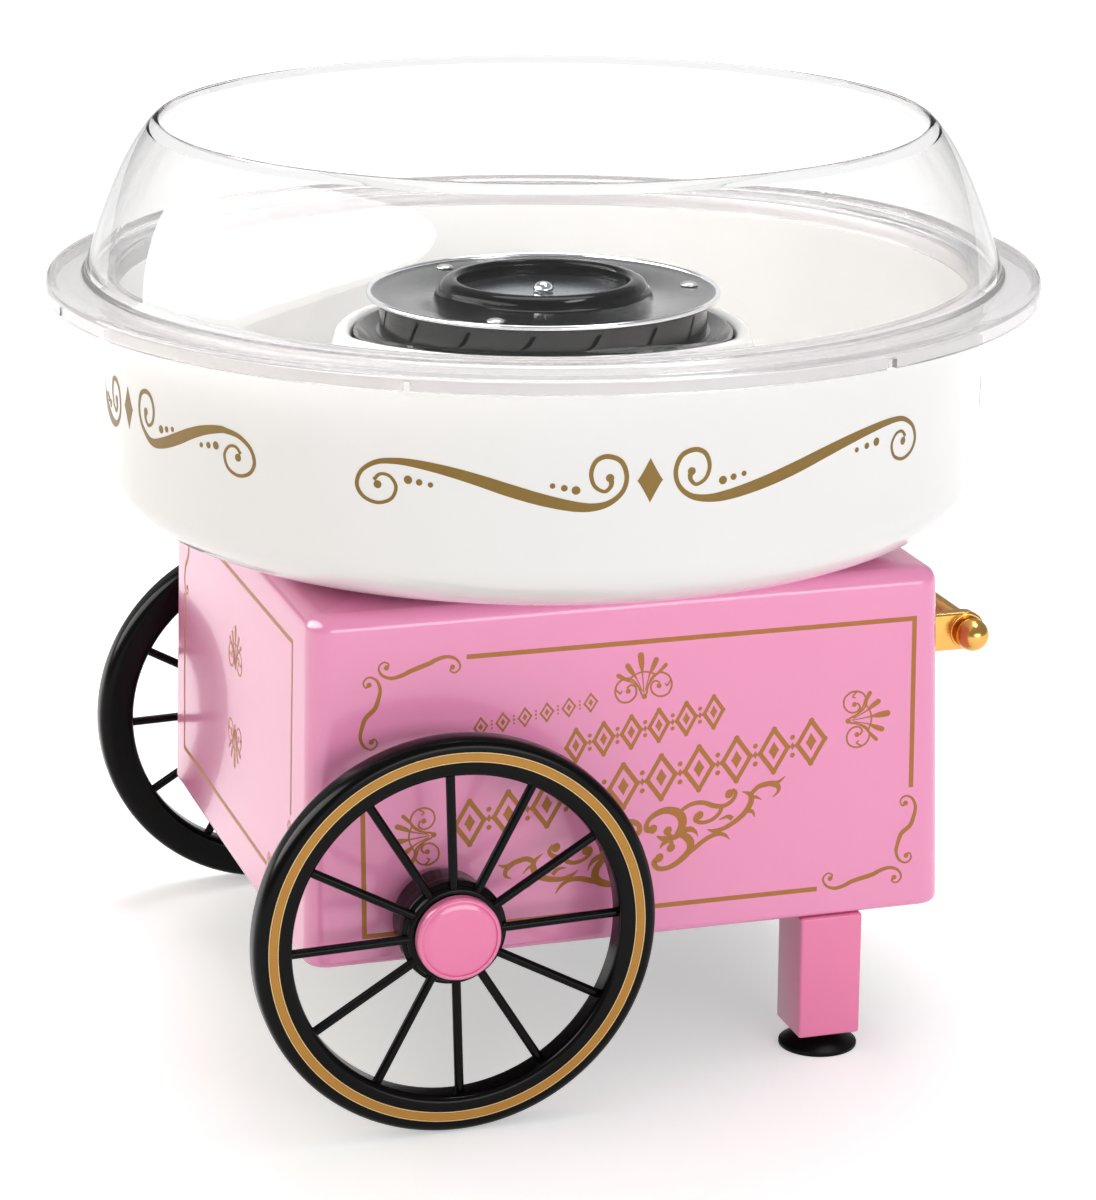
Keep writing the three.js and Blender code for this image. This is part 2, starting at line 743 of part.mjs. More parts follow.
function bowl() {
  const floor = bowlBottom + bowlWall;
  const lowRadius = bowlRadius - bowlTaper;
  const cornerX = lowRadius - bowlCornerReach;
  const cornerZ = bowlBottom + bowlCornerRise;
  const lipBottom = bowlMouth - bowlLipHeight;
  const lipRadius = bowlRadius + bowlLipReach;
  const mouthRadius = bowlRadius - bowlWall;
  const crestX = humpHoleRadius + humpRound;
  const crestZ = humpTop - humpRound;
  const innerRound = humpRound - bowlWall;
  const rollEnd = crestZ - humpLipDrop;
  const section = [
    [bowlRadius, lipBottom],
    ...arc(cornerX, cornerZ, bowlCornerReach, bowlCornerRise, 0, -90, bowlCornerSteps),
    [humpFootRadius - bowlWall, bowlBottom],
    ...arc(crestX, crestZ, innerRound, innerRound, 0, 180, crestSteps - 1),
    [humpHoleRadius + bowlWall, rollEnd], [humpHoleRadius, rollEnd],
    ...arc(crestX, crestZ, humpRound, humpRound, 180, 0, crestSteps + 1),
    [humpFootRadius, floor],
    ...arc(cornerX, cornerZ, bowlCornerReach - bowlWall, bowlCornerRise - bowlWall, -90, 0, bowlCornerSteps),
    [mouthRadius, lipBottom], [mouthRadius, bowlMouth], [lipRadius, bowlMouth], [lipRadius, lipBottom],
  ];
  return revolve(section, largeFacets);
}

const domeFoot = guardUnderside + guardWall;
const domeCurve = new THREE.CubicBezierCurve(
  new THREE.Vector2(domeFootRadius, domeFoot),
  new THREE.Vector2(domeFootRadius - domeFootGuideIn, domeFoot + domeFootGuideRise),
  new THREE.Vector2(domeMouthRadius + domeShoulderOut, guardTop - domeShoulderDrop),
  new THREE.Vector2(domeMouthRadius, guardTop));

// The dome's outer line from its foot to its open top, or a line `inset` inside it
function domeLine(inset) {
  return Array.from({ length: domeSteps + 1 }, (_, i) => {
    const point = domeCurve.getPoint(i / domeSteps);
    const run = domeCurve.getTangent(i / domeSteps);
    return [point.x - inset * run.y, point.y + inset * run.x];
  });
}

function rimGuard() {
  const bottom = guardUnderside - guardSkirt;
  const skirtInner = guardRadius - guardWall;
  const collar = bowlRadius - bowlWall - clearance;
  const collarBottom = guardUnderside - guardCollarDepth;
  const section = [
    [skirtInner, bottom], [guardRadius, bottom], [guardRadius, domeFoot - guardShoulderDrop],
    [guardRadius - guardShoulderIn, domeFoot],
    ...domeLine(0), ...domeLine(guardWall).slice(1).reverse(),
    [collar - guardWall, guardUnderside], [collar - guardWall, collarBottom], [collar, collarBottom],
    [collar, guardUnderside], [skirtInner - guardShoulderIn, guardUnderside],
    [skirtInner, guardUnderside - guardShoulderDrop],
  ];
  const notches = guardNotchAngles.map((angle) =>
    box(4 * guardWall, guardNotchWidth, 2 * guardNotchHeight, guardRadius, 0, bottom).rotate([0, 0, angle]));
  return cut(revolve(section, largeFacets), notches);
}

// Turret, pan and heating element

function turret() {
  const flangeTop = turretBottom + turretFlangeThickness;
  const inner = turretRadius - turretWall;
  const ledgeInner = turretRadius - turretLedge;
  const ledgeBottom = turretTop - turretWall;
  const body = revolve([[turretFlangeInner, turretBottom], [turretFlangeRadius, turretBottom],
    [turretFlangeRadius, flangeTop], [turretRadius, flangeTop], [turretRadius, turretTop],
    [ledgeInner, turretTop], [ledgeInner, ledgeBottom], [inner, ledgeBottom], [inner, flangeTop],
    [turretFlangeInner, flangeTop]], mediumFacets);
  return cut(body, bracketScrewPlaces.map(drill(screwHole, turretBottom, flangeTop, tinyFacets)));
}

const elementAngle = elementGap / 2;

// Centre line of the element: down-turned ends joined by a nearly full circle
class ElementPath extends THREE.Curve {
  getPoint(t) {
    const sweep = radians(360 - elementGap);
    const bend = (Math.PI / 2) * elementBend;
    const ring = sweep * elementRadius - 2 * elementBend;
    const total = 2 * elementTail + 2 * bend + ring;
    const distance = t * total;
    const half = distance > total / 2 ? total - distance : distance;
    let along;
    let drop;
    if (half < elementTail) {
      along = 0;
      drop = elementBend + elementTail - half;
    } else if (half < elementTail + bend) {
      const turn = (half - elementTail) / elementBend;
      along = elementBend * (1 - Math.cos(turn));
      drop = elementBend * (1 - Math.sin(turn));
    } else {
      along = elementBend + half - elementTail - bend;
      drop = 0;
    }
    const swept = radians(elementAngle) + along / elementRadius;
    const angle = distance > total / 2 ? -swept : swept;
    return new THREE.Vector3(elementRadius, 0, elementZ - drop)
      .applyAxisAngle(new THREE.Vector3(0, 0, 1), angle);
  }
}

function heatingElement() {
  const section = around(elementFacets, 0, (angle) =>
    new THREE.Vector2(elementTube * Math.cos(radians(angle)), elementTube * Math.sin(radians(angle))));
  const settings = { steps: elementSteps, extrudePath: new ElementPath(), bevelEnabled: false };
  return solid(new THREE.ExtrudeGeometry(new THREE.Shape(section), settings));
}

function heaterPan() {
  const rimInner = panRadius - panWall;
  const bossTop = panFloor + panBossHeight;
  const body = revolve([[panBoreRadius, panUnderside], [panFloorRadius, panUnderside],
    [panRadius, panTop - panWall], [panRadius, panTop], [rimInner, panTop],
    [panFloorRadius - panFloorRound, panFloor], [panBossRadius, panFloor], [panBossRadius, bossTop],
    [panBoreRadius, bossTop]], mediumFacets);
  const tails = [-1, 1].map((way) => radians(way * elementAngle));
  const holes = tails.map((angle) => [elementRadius * Math.cos(angle), elementRadius * Math.sin(angle)])
    .map(drill(elementTube + 2 * clearance, panUnderside, panFloor, slimFacets));
  return cut(body, holes);
}

function elementSaddle(angle) {
  const low = panFloor + clearance;
  const block = box(saddleReach, saddleWidth, elementZ - low, elementRadius, 0, (elementZ + low) / 2);
  const groove = rodAlongY(elementTube + 2 * clearance, -saddleWidth, saddleWidth, slimFacets)
    .translate([elementRadius, 0, elementZ]);
  return block.subtract(groove).rotate([0, 0, angle]);
}

// Spinning head

function headPlate() {
  const lipInner = headRadius - headLipWidth;
  const hole = sugarCupMouth - clearance;
  const lipTop = headPlateTop + headLipRise;
  const body = revolve([[hole, headPlateBottom], [lipInner, headPlateBottom],
    [headRadius, lipTop - headPlateThickness], [headRadius, lipTop], [headRadius - headLipEdge, lipTop],
    [lipInner, headPlateTop], [hole, headPlateTop]], largeFacets);
  return cut(body, rivetPlaces.map(drill(rivetShank + clearance, headPlateBottom, headPlateTop, tinyFacets)));
}

function headBand() {
  const band = tube(headBandRadius, headBandRadius - headBandWall, bandBottom, bandBottom + headBandHeight,
    largeFacets);
  const slots = around(headSlotCount, 0, (angle) =>
    box(4 * headBandWall, headSlotWidth, headSlotHeight, 0, 0, 0).rotate([headSlotSlant, 0, 0])
      .translate([headBandRadius, 0, bandBottom + headBandHeight / 2]).rotate([0, 0, angle]));
  return cut(band, slots);
}

function headBasePlate() {
  const top = headBottom + headPlateThickness;
  const body = tube(headBandRadius + headBandWall, hubStemRadius + clearance, headBottom, top, mediumFacets);
  return cut(body, rivetPlaces.map(drill(rivetShank + clearance, headBottom, top, tinyFacets)));
}

function sugarCup() {
  const base = headPlateTop + clearance;
  const inner = sugarCupMouth - clearance;
  const crown = base + sugarCupHeight;
  const footTop = base + sugarCupFootHeight;
  const rim = sugarCupMouth + sugarCupRimWidth;
  return revolve([[inner, base], [sugarCupFootRadius, base], [sugarCupFootRadius, footTop],
    ...arc(rim, footTop, sugarCupBelly - rim, crown - footTop, 0, 90, sugarCupSteps),
    [sugarCupMouth, crown - sugarCupRimDrop]], mediumFacets);
}

function driveHub() {
  const flangeTop = headPlateBottom - clearance;
  const raised = sugarCupMouth - 2 * clearance;
  const bore = shaftRadius + clearance;
  const boreTop = shaftTop + clearance;
  const body = revolve([[bore, hubStemBottom], [hubStemRadius, hubStemBottom],
    [hubStemRadius, flangeTop - hubFlangeThickness], [hubFlangeRadius, flangeTop - hubFlangeThickness],
    [hubFlangeRadius, flangeTop], [raised, flangeTop], [raised, headPlateTop], [0, headPlateTop],
    [0, boreTop], [bore, boreTop]], smallFacets);
  const pinSlot = box(drivePinLength + 4 * clearance, 2 * (drivePinRadius + clearance), 2 * drivePinSlotDepth,
    0, 0, hubStemBottom);
  const screwPocket = rod(screwHole, headPlateTop - domeScrewLength, headPlateTop + overrun, tinyFacets);
  return cut(body, [pinSlot, screwPocket]);
}

// Motor

function motorCan() {
  const bore = bearingRadius + clearance;
  const inner = motorRadius - motorWall;
  const floor = motorBottom + motorWall;
  const ceiling = motorTop - motorWall;
  const body = revolve([[bore, motorBottom], [motorRadius - motorEdge, motorBottom],
    [motorRadius, motorBottom + motorEdge], [motorRadius, motorTop], [bore, motorTop], [bore, ceiling],
    [inner, ceiling], [inner, floor], [bore, floor]], slimFacets);
  return cut(body, motorScrewPlaces.map(drill(screwHole, ceiling, motorTop, tinyFacets)));
}

const motorMiddle = (motorTop + motorBottom) / 2;
const statorOuter = motorRadius - motorWall - clearance;
const armatureRadius = statorOuter - statorWall - armatureGap;

function stator() {
  return tube(statorOuter, statorOuter - statorWall, motorMiddle - statorLength / 2,
    motorMiddle + statorLength / 2, slimFacets);
}

function armature() {
  const core = tube(armatureRadius, shaftHole, motorMiddle - statorLength / 2, motorMiddle + statorLength / 2,
    slimFacets);
  const slots = around(armatureSlotCount, 0, (angle) =>
    box(armatureRadius / 2, armatureSlotWidth, statorLength + 2 * overrun, armatureRadius, 0, motorMiddle)
      .rotate([0, 0, angle]));
  return cut(core, slots);
}

function motorBearing(low) {
  return tube(bearingRadius, shaftHole, low, low + bearingLength, slimFacets);
}

function motorBracket() {
  const bore = bearingRadius + bracketBoreMargin;
  const body = tube(bracketRadius, bore, bracketBottom, bracketTop, mediumFacets);
  const ventPlaces = around(bracketScrewCount, bracketVentTurn, (angle) => [
    bracketVentCircle * Math.cos(radians(angle)), bracketVentCircle * Math.sin(radians(angle))]);
  const screwPlaces = [...bracketScrewPlaces, ...motorScrewPlaces];
  return cut(body, [...screwPlaces.map(drill(screwHole, bracketBottom, bracketTop, tinyFacets)),
    ...ventPlaces.map(drill(bracketVentRadius, bracketBottom, bracketTop, slimFacets))]);
}

const bottomBearingLow = motorBottom + (motorWall - bearingLength) / 2;
const topBearingLow = motorTop - (motorWall + bearingLength) / 2;
const fanTop = bottomBearingLow - 2 * clearance;
const fanBottom = fanTop - fanHubLength;
const drivePinZ = hubStemBottom + drivePinSlotDepth - drivePinRadius - clearance;

function motorShaft() {
  const shaft = rod(shaftRadius, fanBottom - shaftTail, shaftTop, slimFacets);
  const pinHole = rodAlongX(drivePinRadius + clearance, -2 * shaftRadius, 2 * shaftRadius, tinyFacets)
    .translate([0, 0, drivePinZ]);
  return shaft.subtract(pinHole);
}

function coolingFan() {
  const hub = tube(fanHubRadius, shaftHole, fanBottom, fanTop, slimFacets);
  const bladeLength = fanRadius - fanHubRadius + overrun;
  const blades = around(fanBladeCount, 0, (angle) =>
    box(bladeLength, fanBladeThickness, fanBladeWidth, 0, 0, 0).rotate([fanPitch, 0, 0])
      .translate([fanRadius - bladeLength / 2, 0, (fanTop + fanBottom) / 2]).rotate([0, 0, angle]));
  return join([hub, ...blades]);
}

// Rocker switch and cord inlet

function switchHousing() {
  const face = switchWallY + clearance;
  const front = face + switchBezelThickness;
  const bezel = box(switchBezelWidth, switchBezelThickness, switchBezelHeight, switchX,
    face + switchBezelThickness / 2, switchZ);
  const can = box(switchBodyWidth, switchBodyDepth, switchBodyHeight, switchX,
    front - overrun - switchBodyDepth / 2, switchZ);
  const pocket = box(rockerPocketWidth, 2 * rockerPocketDepth, rockerPocketHeight, switchX, front, switchZ);
  return join([bezel, can]).subtract(pocket);
}

const rockerPivotY = switchWallY + clearance + switchBezelThickness - rockerPivotDepth;

function switchRocker() {
  const crown = rockerPivotDepth + rockerCrown;
  const outline = [[-rockerHalf, crown], [-rockerHalf, rockerBack], [-rockerHeel, -rockerBack],
    [rockerHeel, -rockerBack], [rockerHalf, rockerBack], [rockerHalf, crown], [0, crown - rockerDip]];
  return extrude(outline, rockerWidth, 0).translate([0, 0, -rockerWidth / 2]).rotate([0, 90, 0])
    .rotate([-rockerTilt, 0, 0]);
}

function cordInlet() {
  const face = inletWallY + clearance;
  const front = face + inletFlangeThickness;
  const back = front - inletLength;
  return revolveAlongY([[inletBore, back], [inletRadius, back], [inletRadius, face],
    [inletFlangeRadius, face], [inletFlangeRadius - inletEdge, front], [inletBore, front]], slimFacets, 1);
}

// The whole machine

function placed(mesh, x, y, z) {
  mesh.position.set(x, y, z);
  return mesh;
}

const machine = new THREE.Group();
machine.add(piece("cart_body", cartBody(), pinkPlastic));
machine.add(piece("base_plate", basePlate(), blackPlastic));

const baseScrew = () => fastener(screwHead, screwHeadHeight, screwShank, baseScrewLength, tinyFacets);
basePosts.forEach(([x, y], i) => {
  const mesh = piece(`base_screw_${i + 1}`, baseScrew(), platedSteel);
  mesh.rotation.x = Math.PI;
  machine.add(placed(mesh, x, y, basePlateBottom - clearance));
});

const axle = rodAlongY(axleRadius, -axleEnd, axleEnd, smallFacets);
machine.add(placed(piece("axle", axle, platedSteel), axleX, 0, axleZ));
for (const [name, side] of sides) {
  const gear = new THREE.Group();
  gear.position.set(axleX, 0, axleZ);
  gear.add(piece(`axle_bush_${name}`, axleBush(side), blackPlastic));
  gear.add(piece(`wheel_${name}`, wheel(side), blackPlastic));
  gear.add(piece(`hub_cap_${name}`, hubCap(side), pinkPlastic));
  machine.add(gear);

  const support = new THREE.Group();
  support.position.set(legX, side * legY, 0);
  support.add(piece(`leg_${name}`, leg(), pinkPlastic));
  support.add(piece(`suction_cup_${name}`, suctionCup(), blackRubber));
  machine.add(support);

  machine.add(piece(`handle_arm_${name}`, handleArm(side), goldPlastic));
  machine.add(placed(piece(`handle_ball_${name}`, handleBall(side), goldPlastic),
    handleReach, side * handleBallY, handleHeight));
}
machine.add(placed(piece("handle_bar", handleBar(), goldPlastic), handleReach, 0, handleHeight));

machine.add(piece("turret", turret(), whitePlastic));
machine.add(piece("heater_pan", heaterPan(), darkEnamel));
machine.add(piece("heating_element", heatingElement(), darkEnamel));
around(saddleCount, 60, (angle, i) =>
  machine.add(piece(`element_saddle_${i + 1}`, elementSaddle(angle), ceramic)));

machine.add(piece("motor_can", motorCan(), platedSteel));
machine.add(piece("motor_stator", stator(), darkEnamel));
machine.add(piece("motor_bracket", motorBracket(), platedSteel));
machine.add(piece("motor_bearing_bottom", motorBearing(bottomBearingLow), bronze));
machine.add(piece("motor_bearing_top", motorBearing(topBearingLow), bronze));
const bracketScrewLength = turretBottom + turretFlangeThickness - bracketBottom;
bracketScrewPlaces.forEach(([x, y], i) => {
  const body = fastener(screwHead, screwHeadHeight, screwShank, bracketScrewLength, tinyFacets);
  const mesh = piece(`bracket_screw_${i + 1}`, body, platedSteel);
  mesh.rotation.x = Math.PI;
  machine.add(placed(mesh, x, y, bracketBottom - clearance));
});
motorScrewPlaces.forEach(([x, y], i) => {
  const body = fastener(screwHead, screwHeadHeight, screwShank, motorScrewLength, tinyFacets);
  machine.add(placed(piece(`motor_screw_${i + 1}`, body, platedSteel), x, y, bracketTop + clearance));
});

machine.add(piece("motor_shaft", motorShaft(), polishedSteel));
machine.add(piece("motor_armature", armature(), bronze));
machine.add(piece("cooling_fan", coolingFan(), blackPlastic));
const drivePin = rodAlongX(drivePinRadius, -drivePinLength / 2, drivePinLength / 2, tinyFacets);
machine.add(placed(piece("drive_pin", drivePin, polishedSteel), 0, 0, drivePinZ));

const head = new THREE.Group();
head.add(piece("head_plate", headPlate(), platedSteel));
head.add(piece("head_slotted_band", headBand(), platedSteel));
head.add(piece("head_base_plate", headBasePlate(), platedSteel));
head.add(piece("sugar_cup", sugarCup(), blackPlastic));
head.add(piece("drive_hub", driveHub(), polishedSteel));
const domeScrew = fastener(domeScrewRadius, domeScrewHeight, screwShank, domeScrewLength, slimFacets);
head.add(placed(piece("dome_screw", domeScrew, polishedSteel), 0, 0, headPlateTop + clearance));
const rivetLength = headPlateTop - headBottom + 2 * clearance;
rivetPlaces.forEach(([x, y], i) => {
  const top = fastener(rivetHeadRadius, rivetHeadHeight, rivetShank, rivetLength, rivetFacets);
  const tail = rod(rivetTailRadius, -rivetLength - rivetTailHeight, -rivetLength, rivetFacets);
  const rivet = piece(`head_rivet_${i + 1}`, top.add(tail), polishedSteel);
  head.add(placed(rivet, x, y, headPlateTop + clearance));
});
machine.add(head);

machine.add(piece("bowl", bowl(), whitePlastic));
machine.add(piece("rim_guard", rimGuard(), clearPlastic));

machine.add(piece("switch_housing", switchHousing(), blackPlastic));
machine.add(placed(piece("switch_rocker", switchRocker(), blackPlastic), switchX, rockerPivotY, switchZ));
machine.add(placed(piece("cord_inlet", cordInlet(), blackPlastic), inletX, 0, inletZ));

export default machine;
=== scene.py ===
"""Looks of the tabletop cotton candy machine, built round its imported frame.

All sizes are given in millimetres at the calls and turned into metres by the makers below.
The origin is on the table under the axis of the spinning head, and +Z is up.
"""

import math

import bmesh
import bpy
from mathutils import Matrix, Vector


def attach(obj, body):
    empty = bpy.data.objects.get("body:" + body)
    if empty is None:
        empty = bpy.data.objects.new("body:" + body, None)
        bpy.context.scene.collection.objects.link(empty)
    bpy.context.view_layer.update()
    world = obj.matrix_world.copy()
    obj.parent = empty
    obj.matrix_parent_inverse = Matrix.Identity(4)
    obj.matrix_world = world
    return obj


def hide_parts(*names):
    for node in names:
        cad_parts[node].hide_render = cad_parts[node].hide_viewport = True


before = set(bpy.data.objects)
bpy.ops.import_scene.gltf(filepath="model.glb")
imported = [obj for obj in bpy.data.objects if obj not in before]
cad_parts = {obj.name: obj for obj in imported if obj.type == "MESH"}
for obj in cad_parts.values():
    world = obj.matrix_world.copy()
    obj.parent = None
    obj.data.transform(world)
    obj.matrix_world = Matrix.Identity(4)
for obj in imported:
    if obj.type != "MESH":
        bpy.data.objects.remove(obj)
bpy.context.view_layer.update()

MM = 0.001
TAU = 2 * math.pi


# Camera

def place_camera():
    """The photograph's own viewpoint, a long lens a little over a metre away."""
    right = Vector((0.9555032, -0.2949468, 0.0044772))
    up = Vector((0.0788190, 0.2699076, 0.9596549))
    ahead = Vector((0.2842556, 0.9166004, -0.2811450))
    camera = bpy.data.objects.new("camera", bpy.data.cameras.new("camera"))
    bpy.context.scene.collection.objects.link(camera)
    turn = Matrix((right, up, -ahead)).transposed().to_4x4()
    camera.matrix_world = Matrix.Translation(Vector((-352.528, -1134.120, 469.848)) * MM) @ turn
    camera.data.sensor_width = 36
    camera.data.lens = 120.361
    camera.data.shift_x = 0.00722
    camera.data.clip_start = 0.05
    camera.data.clip_end = 60
    bpy.context.scene.camera = camera


place_camera()


# Node helpers

SURFACE_OUTPUTS = (("Color", "Color"), ("Roughness", "Float"), ("Height", "Float"))


def link_nodes(tree, source, output, target, entry):
    tree.links.new(source.outputs[output], target.inputs[entry])


def shader_group(name, inputs, outputs):
    """An empty shader group with its named sockets, and its two end nodes."""
    tree = bpy.data.node_groups.new(name, "ShaderNodeTree")
    for label, kind, value in inputs:
        socket = tree.interface.new_socket(label, in_out="INPUT", socket_type="NodeSocket" + kind)
        socket.default_value = value
    for label, kind in outputs:
        tree.interface.new_socket(label, in_out="OUTPUT", socket_type="NodeSocket" + kind)
    return tree, tree.nodes.new("NodeGroupInput"), tree.nodes.new("NodeGroupOutput")


def math_node(tree, operation, first, second=None):
    """A Math node fed by numbers or by (node, output) pairs."""
    node = tree.nodes.new("ShaderNodeMath")
    node.operation = operation
    for entry, value in enumerate((first, second)):
        if isinstance(value, tuple):
            tree.links.new(value[0].outputs[value[1]], node.inputs[entry])
        elif value is not None:
            node.inputs[entry].default_value = value
    return node


def spread_round(tree, noise, base, spread):
    """base plus or minus spread, as the noise runs from 0 to 1."""
    centred = math_node(tree, "SUBTRACT", (noise, "Fac"), 0.5)
    swing = math_node(tree, "MULTIPLY", (centred, 0), spread)
    return math_node(tree, "ADD", (swing, 0), base)


def put_out_finish(tree, enter, leave, noise):
    """Puts out the group's colour and roughness, each spread by the noise."""
    tone = spread_round(tree, noise, 1.0, (enter, "Color Spread"))
    tint = tree.nodes.new("ShaderNodeVectorMath")
    tint.operation = "SCALE"
    link_nodes(tree, enter, "Color", tint, 0)
    link_nodes(tree, tone, 0, tint, "Scale")
    gloss = spread_round(tree, noise, (enter, "Roughness"), (enter, "Roughness Spread"))
    link_nodes(tree, tint, 0, leave, "Color")
    link_nodes(tree, gloss, 0, leave, "Roughness")


def make_moulded_surface():
    """Slow colour drift and fine orange peel of a moulded or rolled surface."""
    tree, enter, leave = shader_group("moulded_surface", [
        ("Color", "Color", (0.8, 0.8, 0.8, 1)), ("Color Spread", "Float", 0.1),
        ("Roughness", "Float", 0.3), ("Roughness Spread", "Float", 0.08),
        ("Patches per Metre", "Float", 30.0), ("Grains per Metre", "Float", 900.0)], SURFACE_OUTPUTS)
    place = tree.nodes.new("ShaderNodeTexCoord")
    patches = tree.nodes.new("ShaderNodeTexNoise")
    patches.inputs["Detail"].default_value = 3
    grains = tree.nodes.new("ShaderNodeTexNoise")
    grains.inputs["Detail"].default_value = 2
    for noise, scale in ((patches, "Patches per Metre"), (grains, "Grains per Metre")):
        link_nodes(tree, place, "Object", noise, "Vector")
        link_nodes(tree, enter, scale, noise, "Scale")
    put_out_finish(tree, enter, leave, patches)
    link_nodes(tree, grains, "Fac", leave, "Height")
    return tree


def make_turned_lines():
    """Fine rings left by turning or spinning a metal piece about the Z axis."""
    tree, enter, leave = shader_group("turned_lines", [
        ("Color", "Color", (0.5, 0.5, 0.5, 1)), ("Color Spread", "Float", 0.2),
        ("Roughness", "Float", 0.3), ("Roughness Spread", "Float", 0.2),
        ("Lines per Metre", "Float", 2500.0)], SURFACE_OUTPUTS)
    place = tree.nodes.new("ShaderNodeTexCoord")
    split = tree.nodes.new("ShaderNodeSeparateXYZ")
    link_nodes(tree, place, "Object", split, 0)
    flat = tree.nodes.new("ShaderNodeCombineXYZ")
    link_nodes(tree, split, "X", flat, "X")
    link_nodes(tree, split, "Y", flat, "Y")
    reach = tree.nodes.new("ShaderNodeVectorMath")
    reach.operation = "LENGTH"
    link_nodes(tree, flat, 0, reach, 0)
    rings = tree.nodes.new("ShaderNodeTexNoise")
    rings.noise_dimensions = "1D"
    rings.inputs["Detail"].default_value = 4
    link_nodes(tree, reach, "Value", rings, "W")
    link_nodes(tree, enter, "Lines per Metre", rings, "Scale")
    put_out_finish(tree, enter, leave, rings)
    link_nodes(tree, rings, "Fac", leave, "Height")
    return tree


MOULDED = make_moulded_surface()
TURNED = make_turned_lines()


def linear(red, green, blue):
    """Screen colour, 0 to 255, as a scene colour."""
    def channel(value):
        value /= 255
        return value / 12.92 if value <= 0.04045 else ((value + 0.055) / 1.055) ** 2.4
    return (channel(red), channel(green), channel(blue), 1)


def finish_with(name, group, color, bump, plain=None, **values):
    """A material with its own values in a surface group. plain holds the shader's plain sockets."""
    material = bpy.data.materials.new(name)
    material.use_nodes = True
    tree = material.node_tree
    shader = tree.nodes["Principled BSDF"]
    surface = tree.nodes.new("ShaderNodeGroup")
    surface.node_tree = group
    surface.inputs["Color"].default_value = color
    for label, value in values.items():
        surface.inputs[label.replace("_", " ").replace(" Per ", " per ")].default_value = value
    link_nodes(tree, surface, "Color", shader, "Base Color")
    link_nodes(tree, surface, "Roughness", shader, "Roughness")
    if bump:
        relief = tree.nodes.new("ShaderNodeBump")
        relief.inputs["Distance"].default_value = bump * MM
        relief.inputs["Strength"].default_value = 1
        link_nodes(tree, surface, "Height", relief, "Height")
        link_nodes(tree, relief, "Normal", shader, "Normal")
    for label, value in (plain or {}).items():
        shader.inputs[label].default_value = value
    material.diffuse_color = color
    return material


# Finishes

# Each has its colour on screen, its relief's depth in millimetres, its shader's values and its group's
GLOSSY_COAT = {"Coat Weight": 0.4, "Coat Roughness": 0.05}
SOFT_PINK = {**GLOSSY_COAT, "Subsurface Weight": 0.05, "Subsurface Radius": (0.002, 0.0008, 0.001)}
METAL = {"Metallic": 1.0}
DULL_BLACK = {"Specular IOR Level": 0.12}

pink = finish_with("pink_moulding", MOULDED, linear(244, 152, 195), 0.005, SOFT_PINK,
                   Color_Spread=0.05, Roughness=0.22, Roughness_Spread=0.06, Grains_Per_Metre=600.0)
deep_pink = finish_with("deep_pink_moulding", MOULDED, linear(242, 128, 174), 0.005, SOFT_PINK,
                        Color_Spread=0.05, Roughness=0.22, Roughness_Spread=0.06, Grains_Per_Metre=600.0)
white = finish_with("white_moulding", MOULDED, linear(240, 239, 238), 0.003,
                    {"Coat Weight": 0.4, "Coat Roughness": 0.04},
                    Color_Spread=0.03, Roughness=0.2, Roughness_Spread=0.06, Grains_Per_Metre=500.0)
wheel_black = finish_with("wheel_black", MOULDED, linear(7, 6, 6), 0.002, DULL_BLACK,
                          Color_Spread=0.4, Roughness=0.2, Roughness_Spread=0.08)
frame_black = finish_with("frame_black", MOULDED, linear(30, 30, 31), 0.02,
                          Color_Spread=0.3, Roughness=0.5, Roughness_Spread=0.12, Grains_Per_Metre=1600.0)
rubber = finish_with("foot_rubber", MOULDED, linear(8, 8, 9), 0.015, DULL_BLACK,
                     Color_Spread=0.4, Roughness=0.4, Roughness_Spread=0.15, Grains_Per_Metre=1200.0)
gold = finish_with("gold_plating", MOULDED, linear(226, 176, 96), 0.003, METAL,
                   Color_Spread=0.16, Roughness=0.22, Roughness_Spread=0.1,
                   Patches_Per_Metre=60.0, Grains_Per_Metre=800.0)
chrome = finish_with("bright_steel", TURNED, linear(232, 233, 235), 0.0006, METAL,
                     Color_Spread=0.05, Roughness=0.08, Roughness_Spread=0.05)
plated = finish_with("plated_steel", MOULDED, linear(190, 190, 188), 0.004, METAL,
                     Color_Spread=0.2, Roughness=0.32, Roughness_Spread=0.15,
                     Patches_Per_Metre=120.0, Grains_Per_Metre=1500.0)
head_steel = finish_with("spun_head_steel", TURNED, linear(94, 94, 96), 0, METAL,
                         Color_Spread=0.14, Roughness=0.17, Roughness_Spread=0.08)
floor_steel = finish_with("cup_floor_steel", TURNED, linear(150, 160, 164), 0, METAL,
                          Color_Spread=0.16, Roughness=0.2, Roughness_Spread=0.1)
# Painted shade: this darkened steel, on the slotted band and the head's base plate, stands for the shade
# under the head plate.
band_steel_painted_shade = finish_with("heat_darkened_steel", MOULDED, linear(68, 68, 68), 0, {"Metallic": 0.8},
                         Color_Spread=0.4, Roughness=0.2, Roughness_Spread=0.14,
                         Patches_Per_Metre=90.0, Grains_Per_Metre=700.0)
pan_steel = finish_with("heat_darkened_pan", MOULDED, linear(96, 96, 96), 0,
                        {"Metallic": 0.7, "Coat Weight": 0.3, "Coat Roughness": 0.06},
                        Color_Spread=0.35, Roughness=0.26, Roughness_Spread=0.16,
                        Patches_Per_Metre=70.0, Grains_Per_Metre=500.0)
sheath = finish_with("heated_sheath", MOULDED, linear(104, 98, 92), 0.01, {"Metallic": 0.9},
                     Color_Spread=0.35, Roughness=0.36, Roughness_Spread=0.18,
                     Patches_Per_Metre=70.0, Grains_Per_Metre=1600.0)
cup_black = finish_with("cup_black", MOULDED, linear(3, 3, 4), 0, {"Specular IOR Level": 0.1},
                        Color_Spread=0.3, Roughness=0.07, Roughness_Spread=0.05, Grains_Per_Metre=500.0)
